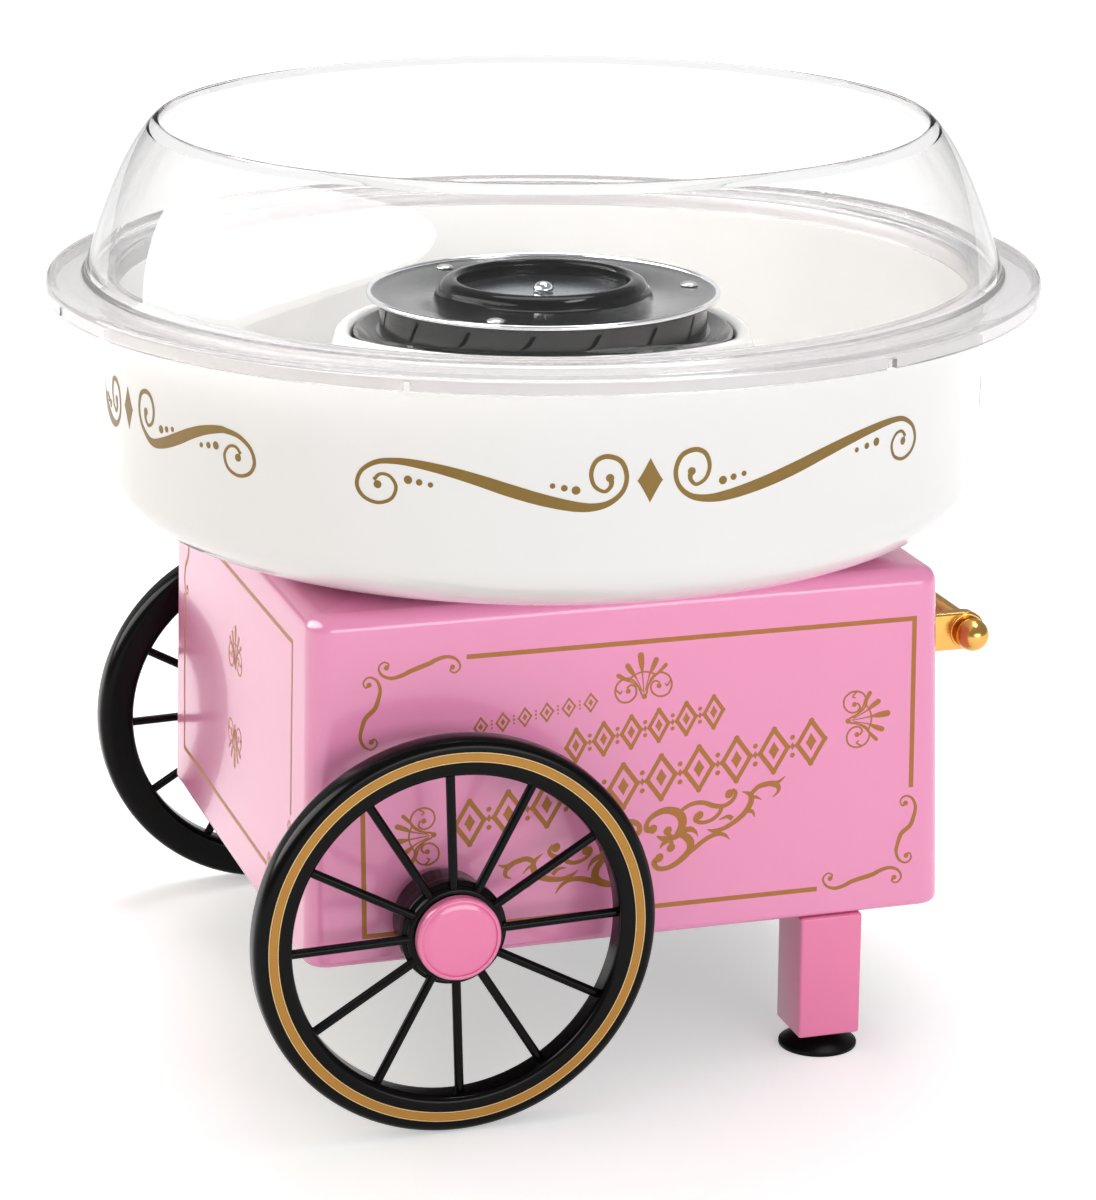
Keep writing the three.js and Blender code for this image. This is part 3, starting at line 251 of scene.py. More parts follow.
enamel = finish_with("dark_enamel", MOULDED, linear(62, 63, 64), 0.01,
                     Color_Spread=0.25, Roughness=0.38, Roughness_Spread=0.14, Grains_Per_Metre=1400.0)
ceramic = finish_with("pale_ceramic", MOULDED, linear(214, 208, 196), 0.02,
                      Roughness=0.6, Roughness_Spread=0.1, Grains_Per_Metre=1500.0)
bronze = finish_with("sintered_bronze", MOULDED, linear(176, 132, 78), 0.02, METAL,
                     Color_Spread=0.2, Roughness=0.42, Roughness_Spread=0.12, Grains_Per_Metre=2500.0)


def gold_print(name, color, metallic, roughness, color_spread, roughness_spread, patches):
    """Gold ink, finely grained."""
    return finish_with(name, MOULDED, linear(*color), 0.01, {"Metallic": metallic},
                       Color_Spread=color_spread, Roughness=roughness, Roughness_Spread=roughness_spread,
                       Patches_Per_Metre=patches, Grains_Per_Metre=2600.0)


deck_gold = gold_print("gold_print_on_pink", (168, 108, 44), 0.25, 0.42, 0.16, 0.14, 180.0)
bowl_gold = gold_print("gold_print_on_white", (130, 101, 38), 0.25, 0.42, 0.2, 0.14, 180.0)
wheel_gold = gold_print("gold_print_on_wheel", (176, 124, 44), 0.3, 0.38, 0.14, 0.12, 120.0)
# Painted highlight: these pale gold lines stand for light caught along the edges of the wheel's printed
# band.
band_edge_painted_highlight = gold_print("gold_line_painted_highlight", (226, 190, 128), 0.2, 0.4, 0.1, 0.1, 120.0)


GRAZING_SHADE_BLEND = 0.11
SHADOW_PASSED = 0.97


def make_clear(name, face_on, grazing_painted_shade, refraction, passing=1.0, gloss=0.02):
    """Clear styrene with painted grey shade towards its grazing edges. Its shadow is nearly clear."""
    material = finish_with(name, MOULDED, linear(*face_on), 0,
                           {"Transmission Weight": passing, "IOR": refraction, "Specular IOR Level": 0.5},
                           Color_Spread=0.01, Roughness=gloss, Roughness_Spread=0.02,
                           Patches_Per_Metre=14.0, Grains_Per_Metre=120.0)
    tree = material.node_tree
    shader = tree.nodes["Principled BSDF"]
    # Painted shade: the base colour turns to the grazing grey as the surface turns edge-on to the view.
    facing = tree.nodes.new("ShaderNodeLayerWeight")
    facing.inputs["Blend"].default_value = GRAZING_SHADE_BLEND
    tone = tree.nodes.new("ShaderNodeMix")
    tone.data_type = "RGBA"
    link_nodes(tree, facing, "Facing", tone, 0)
    surface = next(node for node in tree.nodes if node.type == "GROUP")
    link_nodes(tree, surface, "Color", tone, 6)
    tone.inputs[7].default_value = linear(*grazing_painted_shade)
    link_nodes(tree, tone, 2, shader, "Base Color")
    rays = tree.nodes.new("ShaderNodeLightPath")
    passed = math_node(tree, "MULTIPLY", (rays, "Is Shadow Ray"), SHADOW_PASSED)
    cover = math_node(tree, "SUBTRACT", 1.0, (passed, 0))
    link_nodes(tree, cover, 0, shader, "Alpha")
    return material


# The cut edge hardly refracts, or light trapped in the wall would draw a black line round the opening
clear = make_clear("clear_moulding", (253, 253, 253), (140, 137, 137), 1.28)
# Painted shade: the rim and crest of this one moulding are tinted greyer than the dome, for the shade seen
# on them.
clear_rim_painted_shade = make_clear("clear_rim_painted_shade", (229, 227, 228), (146, 144, 144), 1.25, 0.9, 0.03)
clear_lip = make_clear("clear_lip", (254, 254, 254), (200, 198, 198), 1.04)
clear_crest_painted_shade = make_clear("clear_crest_painted_shade", (196, 195, 195), (172, 170, 170), 1.04)


# Mesh makers

SHARP = 32


def to_mesh(name, points, faces, material, sharp=SHARP):
    """An object at the origin from points in millimetres, smooth but for edges over sharp degrees."""
    mesh = bpy.data.meshes.new(name)
    mesh.from_pydata([Vector(p) * MM for p in points], [], faces)
    build = bmesh.new()
    build.from_mesh(mesh)
    bmesh.ops.remove_doubles(build, verts=build.verts, dist=1e-7)
    bmesh.ops.recalc_face_normals(build, faces=build.faces)
    build.to_mesh(mesh)
    build.free()
    shade(mesh, sharp)
    mesh.materials.append(material)
    made = bpy.data.objects.new(name, mesh)
    bpy.context.scene.collection.objects.link(made)
    return made


def shade(mesh, sharp):
    """Smooth shading, but for edges over sharp degrees."""
    mesh.shade_smooth()
    mesh.set_sharp_from_angle(angle=math.radians(sharp))


def arc(x, y, radius, start, end, steps, rise=None):
    """Points on an arc, in degrees, with another radius upwards where rise is given."""
    rise = radius if rise is None else rise
    return [(x + radius * math.cos(math.radians(start + (end - start) * i / steps)),
             y + rise * math.sin(math.radians(start + (end - start) * i / steps)))
            for i in range(steps + 1)]


def rounded(corners, steps):
    """A closed line through corners (x, y, radius), each rounded by its radius."""
    line = []
    count = len(corners)
    for i, (x, y, radius) in enumerate(corners):
        if not radius:
            line.append((x, y))
            continue
        here = Vector((x, y))
        before = Vector(corners[i - 1][:2]) - here
        after = Vector(corners[(i + 1) % count][:2]) - here
        half = before.angle(after) / 2
        reach = min(radius / math.tan(half), before.length * 0.5, after.length * 0.5)
        start, end = here + before.normalized() * reach, here + after.normalized() * reach
        for k in range(steps + 1):
            t = k / steps
            spot = start * (1 - t) ** 2 + here * 2 * t * (1 - t) + end * t ** 2
            line.append(tuple(spot))
    return line


def turned(name, section, material, segments=96, axis="Z", at=(0, 0, 0), side=1,
           sharp=SHARP):
    """A turned piece: a closed section of (radius, height) swept round an axis.

    With axis Y the height runs outwards on that side of the machine."""
    points, faces, rings = [], [], []
    for radius, height in section:
        if radius < 1e-6:
            rings.append([len(points)] * segments)
            points.append((0, 0, height))
            continue
        rings.append(list(range(len(points), len(points) + segments)))
        points += [(radius * math.cos(TAU * k / segments), radius * math.sin(TAU * k / segments), height)
                   for k in range(segments)]
    for i, ring in enumerate(rings):
        after = rings[(i + 1) % len(rings)]
        for k in range(segments):
            n = (k + 1) % segments
            corners = []
            for index in (ring[k], ring[n], after[n], after[k]):
                if index not in corners:
                    corners.append(index)
            if len(corners) > 2:
                faces.append(corners)
    if axis == "Y":
        points = [(x, side * z, y) for x, y, z in points]
    points = [(x + at[0], y + at[1], z + at[2]) for x, y, z in points]
    return to_mesh(name, points, faces, material, sharp)


def lofted(name, rings, material, sharp=SHARP, closed=False):
    """A skin over rings of equal count, with both ends capped, or joined end to start where closed."""
    size = len(rings[0])
    points = [p for ring in rings for p in ring]
    last = len(rings) if closed else len(rings) - 1
    faces = []
    for i in range(last):
        a, b = i * size, ((i + 1) % len(rings)) * size
        faces += [[a + k, a + (k + 1) % size, b + (k + 1) % size, b + k] for k in range(size)]
    if not closed:
        faces += [list(range(size)), list(range((len(rings) - 1) * size, len(rings) * size))]
    return to_mesh(name, points, faces, material, sharp)


def box_ring(half_x, half_y, radius, z, steps, centre=(0, 0)):
    """A level ring of points round a rounded rectangle."""
    ring = []
    for turn, (sx, sy) in enumerate(((1, 1), (-1, 1), (-1, -1), (1, -1))):
        cx, cy = centre[0] + sx * (half_x - radius), centre[1] + sy * (half_y - radius)
        ring += [(x, y, z) for x, y in arc(cx, cy, radius, 90 * turn, 90 * turn + 90, steps)]
    return ring


def carved(piece, cutter):
    """Takes the cutter's shape out of a piece, and drops the cutter."""
    change = piece.modifiers.new("cut", "BOOLEAN")
    change.operation = "DIFFERENCE"
    change.solver = "EXACT"
    change.object = cutter
    settle(piece)
    bpy.data.objects.remove(cutter)


def settle(piece):
    """Takes what a piece's modifiers make as its mesh."""
    bpy.context.view_layer.update()
    graph = bpy.context.evaluated_depsgraph_get()
    mesh = bpy.data.meshes.new_from_object(piece.evaluated_get(graph))
    piece.modifiers.clear()
    piece.data = mesh
    shade(mesh, SHARP)


def quarter_round(radius, steps):
    """How far a rounded edge lies in and how far below its top, step by step upwards."""
    leans = [math.radians(90 * k / steps) for k in range(steps + 1)]
    return [(radius * (1 - math.cos(lean)), radius * (1 - math.sin(lean))) for lean in leans]


def block(name, low, high, material, edge=0, steps=3):
    """A block between two corners, its edges rounded by edge."""
    centre = [(low[i] + high[i]) / 2 for i in range(3)]
    half = [(high[i] - low[i]) / 2 for i in range(3)]
    if not edge:
        rings = [[(centre[0] + sx * half[0], centre[1] + sy * half[1], z)
                  for sx, sy in ((1, 1), (-1, 1), (-1, -1), (1, -1))] for z in (low[2], high[2])]
        return lofted(name, rings, material)
    rings = []
    for way, level in ((-1, low[2]), (1, high[2])):
        part = []
        for inset, drop in quarter_round(edge, steps):
            part.append(box_ring(half[0] - inset, half[1] - inset, max(edge - inset, 0.02),
                                 level - way * drop, steps, centre))
        rings += part[::-1] if way < 0 else part
    return lofted(name, rings, material, sharp=40)


def joined(name, pieces):
    """Several made objects as one piece."""
    build = bmesh.new()
    materials = []
    for piece in pieces:
        start = len(build.faces)
        build.from_mesh(piece.data)
        build.faces.ensure_lookup_table()
        for face in build.faces[start:]:
            material = piece.data.materials[face.material_index]
            if material not in materials:
                materials.append(material)
            face.material_index = materials.index(material)
    mesh = bpy.data.meshes.new(name)
    build.to_mesh(mesh)
    build.free()
    for piece in pieces:
        bpy.data.objects.remove(piece)
    for material in materials:
        mesh.materials.append(material)
    made = bpy.data.objects.new(name, mesh)
    bpy.context.scene.collection.objects.link(made)
    return made


# Geometry node trees for what repeats

def geometry_tree(name, inputs):
    """An empty geometry tree with its named inputs, and its two end nodes."""
    tree = bpy.data.node_groups.new(name, "GeometryNodeTree")
    tree.interface.new_socket("Geometry", in_out="INPUT", socket_type="NodeSocketGeometry")
    for label, kind in inputs:
        tree.interface.new_socket(label, in_out="INPUT", socket_type="NodeSocket" + kind)
    tree.interface.new_socket("Geometry", in_out="OUTPUT", socket_type="NodeSocketGeometry")
    return tree, tree.nodes.new("NodeGroupInput"), tree.nodes.new("NodeGroupOutput")


def put_out_copies(tree, enter, leave):
    """Copies of the incoming shape on Count points, made real and painted."""
    spots = tree.nodes.new("GeometryNodePoints")
    copies = tree.nodes.new("GeometryNodeInstanceOnPoints")
    whole = tree.nodes.new("GeometryNodeRealizeInstances")
    paint = tree.nodes.new("GeometryNodeSetMaterial")
    link_nodes(tree, enter, "Count", spots, "Count")
    link_nodes(tree, spots, 0, copies, "Points")
    link_nodes(tree, enter, "Geometry", copies, "Instance")
    link_nodes(tree, copies, 0, whole, 0)
    link_nodes(tree, whole, 0, paint, "Geometry")
    link_nodes(tree, enter, "Material", paint, "Material")
    link_nodes(tree, paint, 0, leave, 0)
    return spots, copies


def make_ring_setter():
    """Copies of the incoming shape, evenly round the Z axis."""
    tree, enter, leave = geometry_tree("set_in_a_ring", [
        ("Count", "Int"), ("First Turn", "Float"), ("Full Turn", "Float"), ("Material", "Material")])
    index = tree.nodes.new("GeometryNodeInputIndex")
    step = math_node(tree, "DIVIDE", (enter, "Full Turn"), (enter, "Count"))
    swept = math_node(tree, "MULTIPLY", (index, 0), (step, 0))
    turn = math_node(tree, "ADD", (swept, 0), (enter, "First Turn"))
    spin = tree.nodes.new("ShaderNodeCombineXYZ")
    link_nodes(tree, turn, 0, spin, "Z")
    _, copies = put_out_copies(tree, enter, leave)
    link_nodes(tree, spin, 0, copies, "Rotation")
    return tree


def make_row_setter():
    """Copies of the incoming shape, evenly along a straight row."""
    tree, enter, leave = geometry_tree("set_in_a_row", [
        ("Count", "Int"), ("Step", "Vector"), ("Material", "Material")])
    index = tree.nodes.new("GeometryNodeInputIndex")
    reach = tree.nodes.new("ShaderNodeVectorMath")
    reach.operation = "SCALE"
    link_nodes(tree, enter, "Step", reach, 0)
    link_nodes(tree, index, 0, reach, "Scale")
    spots, _ = put_out_copies(tree, enter, leave)
    link_nodes(tree, reach, 0, spots, "Position")
    return tree


RING_SETTER = make_ring_setter()
ROW_SETTER = make_row_setter()


def grown(piece, tree, **values):
    """Runs a piece's mesh through a geometry tree and keeps the result as its mesh."""
    change = piece.modifiers.new("grow", "NODES")
    change.node_group = tree
    sockets = {item.name: item.identifier for item in tree.interface.items_tree
               if item.item_type == "SOCKET" and item.in_out == "INPUT"}
    for label, value in values.items():
        change[sockets[label.replace("_", " ")]] = value
    settle(piece)
    return piece


def ringed(piece, count, first):
    """The piece set round the Z axis count times, first being the first one's turn in degrees."""
    return grown(piece, RING_SETTER, Count=count, First_Turn=math.radians(first), Full_Turn=TAU,
                 Material=piece.data.materials[0])


def moved(piece, matrix):
    """The piece's mesh placed by a matrix, its object left at the origin."""
    piece.data.transform(matrix)
    if matrix.determinant() < 0:
        piece.data.flip_normals()
    return piece


def dress(piece, body, slot, *nodes):
    """The piece rides on a body and stands for these nodes. Its slot is not used."""
    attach(piece, body)
    if nodes:
        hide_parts(*nodes)
    return piece


SIDES = (("near", -1), ("far", 1))


# Cart body

FOOT, DECK = 44.6, 148.9
DRAFT = math.tan(math.radians(1.36))
HALF_LENGTH, HALF_WIDTH, CORNER = 97.9, 91.4, 7
AXLE = (-59.5, 0, 59.2)


def body_half(base, z):
    """Half the body's length or width at a height, from its half at the foot."""
    return base - (z - FOOT) * DRAFT


def body_level(z, inset):
    """A level ring of the body's wall, brought in by inset."""
    return box_ring(body_half(HALF_LENGTH, z) - inset, body_half(HALF_WIDTH, z) - inset,
                    max(CORNER - inset, 0.4), z, 10)


def around_hole(radius, z, like):
    """A ring on a circle, each point in line with one of the ring that it continues."""
    return [(radius * x / math.hypot(x, y), radius * y / math.hypot(x, y), z) for x, y, _ in like]


def make_cart_body():
    """The pink moulding: drafted walls, rounded deck edge, seat ring for the bowl, hollow below."""
    wall, foot_edge, deck_edge = 2.6, 2.5, 5
    rings = [body_level(FOOT + drop, inset) for inset, drop in quarter_round(foot_edge, 5)][::-1]
    straight_run = DECK - deck_edge - foot_edge - FOOT
    rings += [body_level(FOOT + foot_edge + straight_run * k / 6, 0) for k in range(1, 6)]
    rings += [body_level(DECK - drop, inset) for inset, drop in quarter_round(deck_edge, 8)]
    edge = rings[-1]
    seat_ring = [(77.4, 0), (76.4, 0.3), (76.2, 0.6), (76.2, 1.7), (75.9, 2), (72.5, 2), (72.2, 1.7),
                 (72.2, 0)]
    motor_hole = [(46, 0), (46, -wall)]
    rings += [around_hole(radius, DECK + rise, edge) for radius, rise in seat_ring + motor_hole]
    rings += [body_level(DECK - wall, wall + 4), body_level(DECK - wall - 2, wall + 0.6),
              body_level(FOOT + 1, wall), body_level(FOOT, wall)]
    body = lofted("cart_body_moulding", rings, pink, closed=True)
    carved(body, block("switch_hole", (55.4, 80, 82.4), (68.6, 100, 101.6), pink))
    boss = rounded([(3.5, 86, 0), (9, 86, 0), (9, 93.45, 0.8), (3.5, 93.45, 0.3)], 3)
    bosses = [turned("axle_boss", boss, pink, 64, "Y", AXLE, side) for _, side in SIDES]
    return joined("cart_body_moulding", [body] + bosses)


dress(make_cart_body(), "cart", "pink_plastic", "cart_body")


# Wheels and hub caps

def wheel_frame(side):
    """Sets a piece that was made round Z on the axle, its top outwards on that side."""
    turn = Matrix(((1, 0, 0), (0, 0, side), (0, 1, 0))).to_4x4()
    return Matrix.Translation(Vector(AXLE) * MM) @ turn


def make_wheel(name, side):
    """An oval-sectioned rim, a hub with a raised collar and twelve round spokes between them."""
    rim_mid, rim_half = 109.75, 4.9
    low, high = rim_mid - rim_half, rim_mid + rim_half
    rim_line = rounded([(48.1, low, 2.6), (59.2, low, 3.6), (59.2, high, 3.6), (48.1, high, 2.6)], 8)
    rim = turned("rim", rim_line, wheel_black, 192, sharp=60)
    hub_line = rounded([(3.3, 93.75, 0), (14.3, 93.75, 1.6), (14.3, 111.35, 1.6), (3.3, 111.35, 0)], 6)
    hub = turned("hub", hub_line, wheel_black)
    collar_line = rounded([(12.8, 104.2, 0), (15.6, 104.9, 0.8), (15.6, 109.2, 0.8), (12.8, 110.4, 0)], 4)
    collar = turned("collar", collar_line, wheel_black)
    spoke = turned("spoke", [(1.35, 12), (1.35, 50.6), (0, 50.6), (0, 12)], wheel_black, 24, sharp=60)
    moved(spoke, Matrix.Translation((0, 0, rim_mid * MM)) @ Matrix.Rotation(math.pi / 2, 4, "Y"))
    ringed(spoke, 12, 1.5)
    wheel = joined("wheel_%s_moulding" % name, [rim, hub, collar, spoke])
    return moved(wheel, wheel_frame(side))


def make_printed_band(name, side):
    """The printed band on the rim's outer face, with paler edge lines that are painted highlights of light
    caught on its edges.
    """
    face = 114.62
    rings = ((52.9, 55.0, 0.09, wheel_gold), (52.5, 52.8, 0.08, band_edge_painted_highlight), (55.1, 55.4, 0.08, band_edge_painted_highlight))
    parts = [turned("band", [(inner, face), (outer, face), (outer, face + lift), (inner, face + lift)],
                    finish, 192) for inner, outer, lift, finish in rings]
    return moved(joined("wheel_%s_band" % name, parts), wheel_frame(side))


for name, side in SIDES:
    dress(make_wheel(name, side), "wheel_" + name, "wheel_plastic", "wheel_" + name)
    dress(make_printed_band(name, side), "wheel_" + name, "gold_plastic")
    edge = rounded([(11.8, 111.65, 0), (12.35, 112.2, 0), (12.35, 115.1, 1.1), (10.9, 115.7, 0.5)], 5)
    crown = [(9.6, 115.62), (8.8, 115.7), (6, 115.93), (3, 116.03), (0, 116.05), (0, 114.35)]
    section = [(3.3, 111.65)] + edge + crown + [(3.3, 114.35)]
    cap = turned("hub_cap_%s_moulding" % name, section, deep_pink, 96, "Y", AXLE, side, 40)
    dress(cap, "cart", "pink_plastic", "hub_cap_" + name)


# Legs and suction cups

LEG_X, LEG_Y = 62.7, 81.2


def square_post(name, y, half, low, high, edge, steps):
    """An upright square post of the leg, half wide to each side of its middle."""
    corners = (LEG_X - half, y - half, low), (LEG_X + half, y + half, high)
    return block(name, *corners, deep_pink, edge, steps)


for name, side in SIDES:
    leg = square_post("leg", side * LEG_Y, 9.7, 6, 44.3, 0.9, 4)
    spigot = square_post("spigot", side * LEG_Y, 5.7, 44, 61.6, 1.4, 3)
    dress(joined("leg_%s_moulding" % name, [leg, spigot]), "cart", "pink_plastic", "leg_" + name)
    foot = [(10.2, 0, 0), (11.8, 0, 0.4), (11.8, 1.2, 0.5), (8.7, 3.0, 2.0), (5.6, 4.6, 1.0),
            (5.6, 5.7, 0.2)]
    plug = [(3, 5.7, 0), (3, 13, 0.6), (0, 13, 0)]
    hollow = [(0, 2.9, 0), (5.9, 2.1, 1.5)]
    cup = turned("suction_cup_%s_rubber" % name, rounded(foot + plug + hollow, 6), rubber, 64,
                 at=(LEG_X, side * LEG_Y, 0))
    dress(cup, "cart", "black_rubber", "suction_cup_" + name)


# Pull handle

HANDLE_X, HANDLE_Z = 113.0, 122.0
HANDLE = (HANDLE_X, 0, HANDLE_Z)
ARM_Y, ARM_ROOT = 65.5, 96.4


def arm_level(radius, y):
    """A level of the arm: a straight run from its root to a half-round end, at depth y."""
    ring = [(x, y, z) for x, z in arc(HANDLE_X, HANDLE_Z, radius, 90, -90, 24)]
    return ring + [(ARM_ROOT, y, HANDLE_Z + rise) for rise in (-radius, 0, radius)]


def make_arm(name, side):
    """An arm with a ridge along the middle of each face and a round boss behind its ball."""
    middle = side * ARM_Y
    face = [(5.85, 1.5), (5.6, 1.9), (5.2, 2.15), (0.05, 2.5)]
    levels = [(radius, -rise) for radius, rise in face[::-1]] + face
    arm = lofted("arm", [arm_level(radius, middle + rise) for radius, rise in levels], gold, 14)
    boss_line = [(2.5, 67.2, 0), (5.5, 67.2, 0), (5.5, 68.35, 0.35), (4.9, 68.35, 0.2), (2.5, 68.0, 0)]
    boss = turned("boss", rounded(boss_line, 4), gold, 64, "Y", HANDLE, side)
    inner_line = [(4.6, 62.2, 0), (5.5, 62.2, 0.4), (5.5, 64, 0), (4.6, 64, 0)]
    inner = turned("inner_boss", rounded(inner_line, 4), gold, 64, "Y", HANDLE, side)
    peg = block("peg", (88, middle - 2.4, HANDLE_Z - 2.4), (98, middle + 2.4, HANDLE_Z + 2.4), gold, 1.0)
    return joined("handle_arm_%s_plated" % name, [arm, boss, inner, peg])


BALL_Y, BALL_RADIUS = 72, 4.9
for name, side in SIDES:
    dress(make_arm(name, side), "cart", "gold_plastic", "handle_arm_" + name)
    globe = arc(0, BALL_Y, BALL_RADIUS, -49, 90, 30)[:-1]
    bore = [(0, BALL_Y + BALL_RADIUS), (0, BALL_Y + 0.3), (2.5, BALL_Y + 0.3)]
    ball = turned("handle_ball_%s_plated" % name, [(2.5, BALL_Y - 3.7)] + globe + bore, gold, 64, "Y",
                  HANDLE, side, 50)
    dress(ball, "cart", "gold_plastic", "handle_ball_" + name)
bar_line = rounded([(0, -68, 0), (4.3, -68, 0.4), (4.3, 68, 0.4), (0, 68, 0)], 3)
bar = turned("handle_bar_plated", bar_line, gold, 48)
moved(bar, Matrix.Translation(Vector(HANDLE) * MM) @ Matrix.Rotation(math.pi / 2, 4, "X"))
dress(bar, "cart", "gold_plastic", "handle_bar")


# Bowl

def make_bowl():
    """A deep trough round a raised centre: one wall, rolled over at the hump, lipped at the mouth."""
    outer = [(134.1, 221.7), (132.9, 221.7), (132.58, 221.4)] + arc(95.6, 169.2, 36, 0, -90, 24, 18)
    under = [(72.4, 151.2), (71.2, 151.8), (71.0, 152.8)]
    hump_in = arc(60.6, 205.0, 0.4, 10, 170, 8) + [(60.2, 203.2), (60.0, 203.0)]
    hump_out = [(58.2, 203.0), (58, 203.2)] + arc(60.6, 205.0, 2.6, 180, 0, 18)
    floor = [(73.1, 155.6), (73.6, 154.2), (75.0, 153.4)] + arc(95.6, 169.2, 33.8, -90, 0, 24, 15.8)
    mouth = [(130.4, 221.7), (130.4, 225.2), (130.9, 225.7), (133.9, 225.7), (134.4, 225.2),
             (134.4, 222)]
    section = outer + under + hump_in + hump_out + floor + mouth
    return turned("bowl_moulding", section, white, 256, sharp=50)


dress(make_bowl(), "bowl", "white_plastic", "bowl")


# Clear rim guard

def bezier(points, steps):
    """Points along the curve that four points give."""
    a, b, c, d = (Vector(p) for p in points)
    return [tuple(a * (1 - t) ** 3 + b * 3 * t * (1 - t) ** 2 + c * 3 * t * t * (1 - t) + d * t ** 3)
            for t in (i / steps for i in range(steps + 1))]


def inset_point(line, i, inset):
    """The line's point i, moved to the line's left by inset."""
    before, after = line[max(i - 1, 0)], line[min(i + 1, len(line) - 1)]
    run = Vector((after[0] - before[0], after[1] - before[1])).normalized()
    return line[i][0] - inset * run.y, line[i][1] + inset * run.x


GUARD_BOTTOM, NOTCH_TOP = 221.8, 224.6
NOTCH_TURNS = (-176.5, -121.5, -67, 3.5, 58.5, 113)
NOTCH_WIDTH, SKIRT_MIDDLE = 2.2, 148
WALL_FOOT, WALL_CREST = 1.9, 1.3
CLEAR, RIM, LIP, CREST = range(4)


def guard_section():
    """The guard's closed section, and the finish of the face that starts at each of its points."""
    skirt = [(149, NOTCH_TOP)] + arc(146.8, 225.4, 2.2, 8, 83.6, 8)
    flange = [(143.6, 227.97), (143.0, 228.0), (139.6, 228.0)] + arc(138.69, 229.6, 1.6, 270, 196.9, 6)
    curve = bezier(((137.5, 228), (132.8, 243.5), (125.0, 265.4), (115.3, 273.1)), 30)
    dome = [point for point in curve if point[1] > 229.6]
    outer = skirt + flange + dome
    start = len(outer) - len(dome)
    inner = [inset_point(outer, start + k, WALL_FOOT + (WALL_CREST - WALL_FOOT) * k / len(dome))
             for k in range(len(dome))]
    outer[-1] = (outer[-1][0] + 0.1, outer[-1][1] - 0.3)
    inner[-1] = (inner[-1][0] - 0.05, inner[-1][1] + 0.3)
    crest = [(115.0, 273.02), (114.7, 272.92)]
    inner = [point for point in inner if point[1] > 228.6][::-1]
    collar = [(134.9, 228.0), (134.3, 227.85), (128.9, 227.8), (128.3, 227.6), (128.1, 227.2),
              (128.1, 221.2), (128.3, 221.0), (129.9, 221.0), (130.1, 221.2), (130.1, 225.6),
              (130.5, 226.0), (138.2, 226.05)]
    below = [(143.2, 226.05), (145.9, 225.72), (146.7, 225.45), (147.1, 225.0)]
    skirt_foot = [(147.1, NOTCH_TOP), (147.1, GUARD_BOTTOM), (149, GUARD_BOTTOM)]
    finishes = ([RIM] * (len(skirt_foot) + len(skirt) + len(flange) - 1) + [CLEAR] * (len(dome) - 3)
                + [LIP] * 3 + [CREST] * (len(crest) + 1) + [CLEAR] * len(inner)
                + [RIM] * (len(collar) + len(below)))
    return skirt_foot + outer + crest + inner + collar + below, finishes


def make_guard():
    """Open-topped dome on a wide flange with a turned-down skirt, notched in six places."""
    section, finishes = guard_section()
    size = len(section)
    notch_half = math.degrees(NOTCH_WIDTH / 2 / SKIRT_MIDDLE)
    notches = [((turn - notch_half) % 360, (turn + notch_half) % 360) for turn in NOTCH_TURNS]
    turns = {round(360 * k / 240, 4) for k in range(240)}
    turns |= {round(end, 4) for notch in notches for end in notch}
    turns = sorted(t for t in turns if not any(low + 1e-3 < t < high - 1e-3 for low, high in notches))
    points, faces, kinds = [], [], []
    for turn in turns:
        c, s = math.cos(math.radians(turn)), math.sin(math.radians(turn))
        points += [(r * c, r * s, z) for r, z in section]
    for i, turn in enumerate(turns):
        n = (i + 1) % len(turns)
        middle = (turn + turns[n] + (360 if n == 0 else 0)) / 2 % 360
        cut = any(low < middle < high for low, high in notches)
        for k in range(3 if cut else 0, size):
            m = (k + 1) % size
            faces.append([i * size + k, n * size + k, n * size + m, i * size + m])
            kinds.append(finishes[k])
        if cut:
            faces.append([i * size, n * size, n * size + 3, i * size + 3])
            faces += [[j * size + k for k in range(4)] for j in (i, n)]
            kinds += [RIM] * 3
    guard = to_mesh("rim_guard_clear", points, faces, clear, 40)
    for finish in (clear_rim_painted_shade, clear_lip, clear_crest_painted_shade):
        guard.data.materials.append(finish)
    for face, kind in zip(guard.data.polygons, kinds):
        face.material_index = kind
    return guard


dress(make_guard(), "guard", "clear_plastic", "rim_guard")


# Turret, heater pan and element

turret = turned("turret_enamel",
                [(47, 149.2), (62, 149.2), (62, 151.0), (61.6, 151.4), (55.4, 151.4), (55, 151.8),
                 (55, 197.1), (54.6, 197.5), (46, 197.5), (46, 195.1), (52.6, 195.1), (52.6, 151.4),
                 (47, 151.4)],
                enamel, 160)
dress(turret, "cart", "dark_enamel", "turret")
pan_under = [(4.6, 197.8), (49.5, 197.8), (50.1, 198.1)]
pan_rim = [(57.3, 205.8), (57.4, 206.3), (57.4, 206.8), (57.0, 207.1), (56.4, 207.0), (56.1, 206.6)]
pan_top = [(49.4, 199.3), (48.8, 199.0), (10.3, 199.0), (10, 199.3), (10, 201.5), (9.7, 201.8),
           (4.6, 201.8)]
pan = turned("heater_pan_enamel", pan_under + pan_rim + pan_top, pan_steel, 160)
dress(pan, "cart", "dark_enamel", "heater_pan")


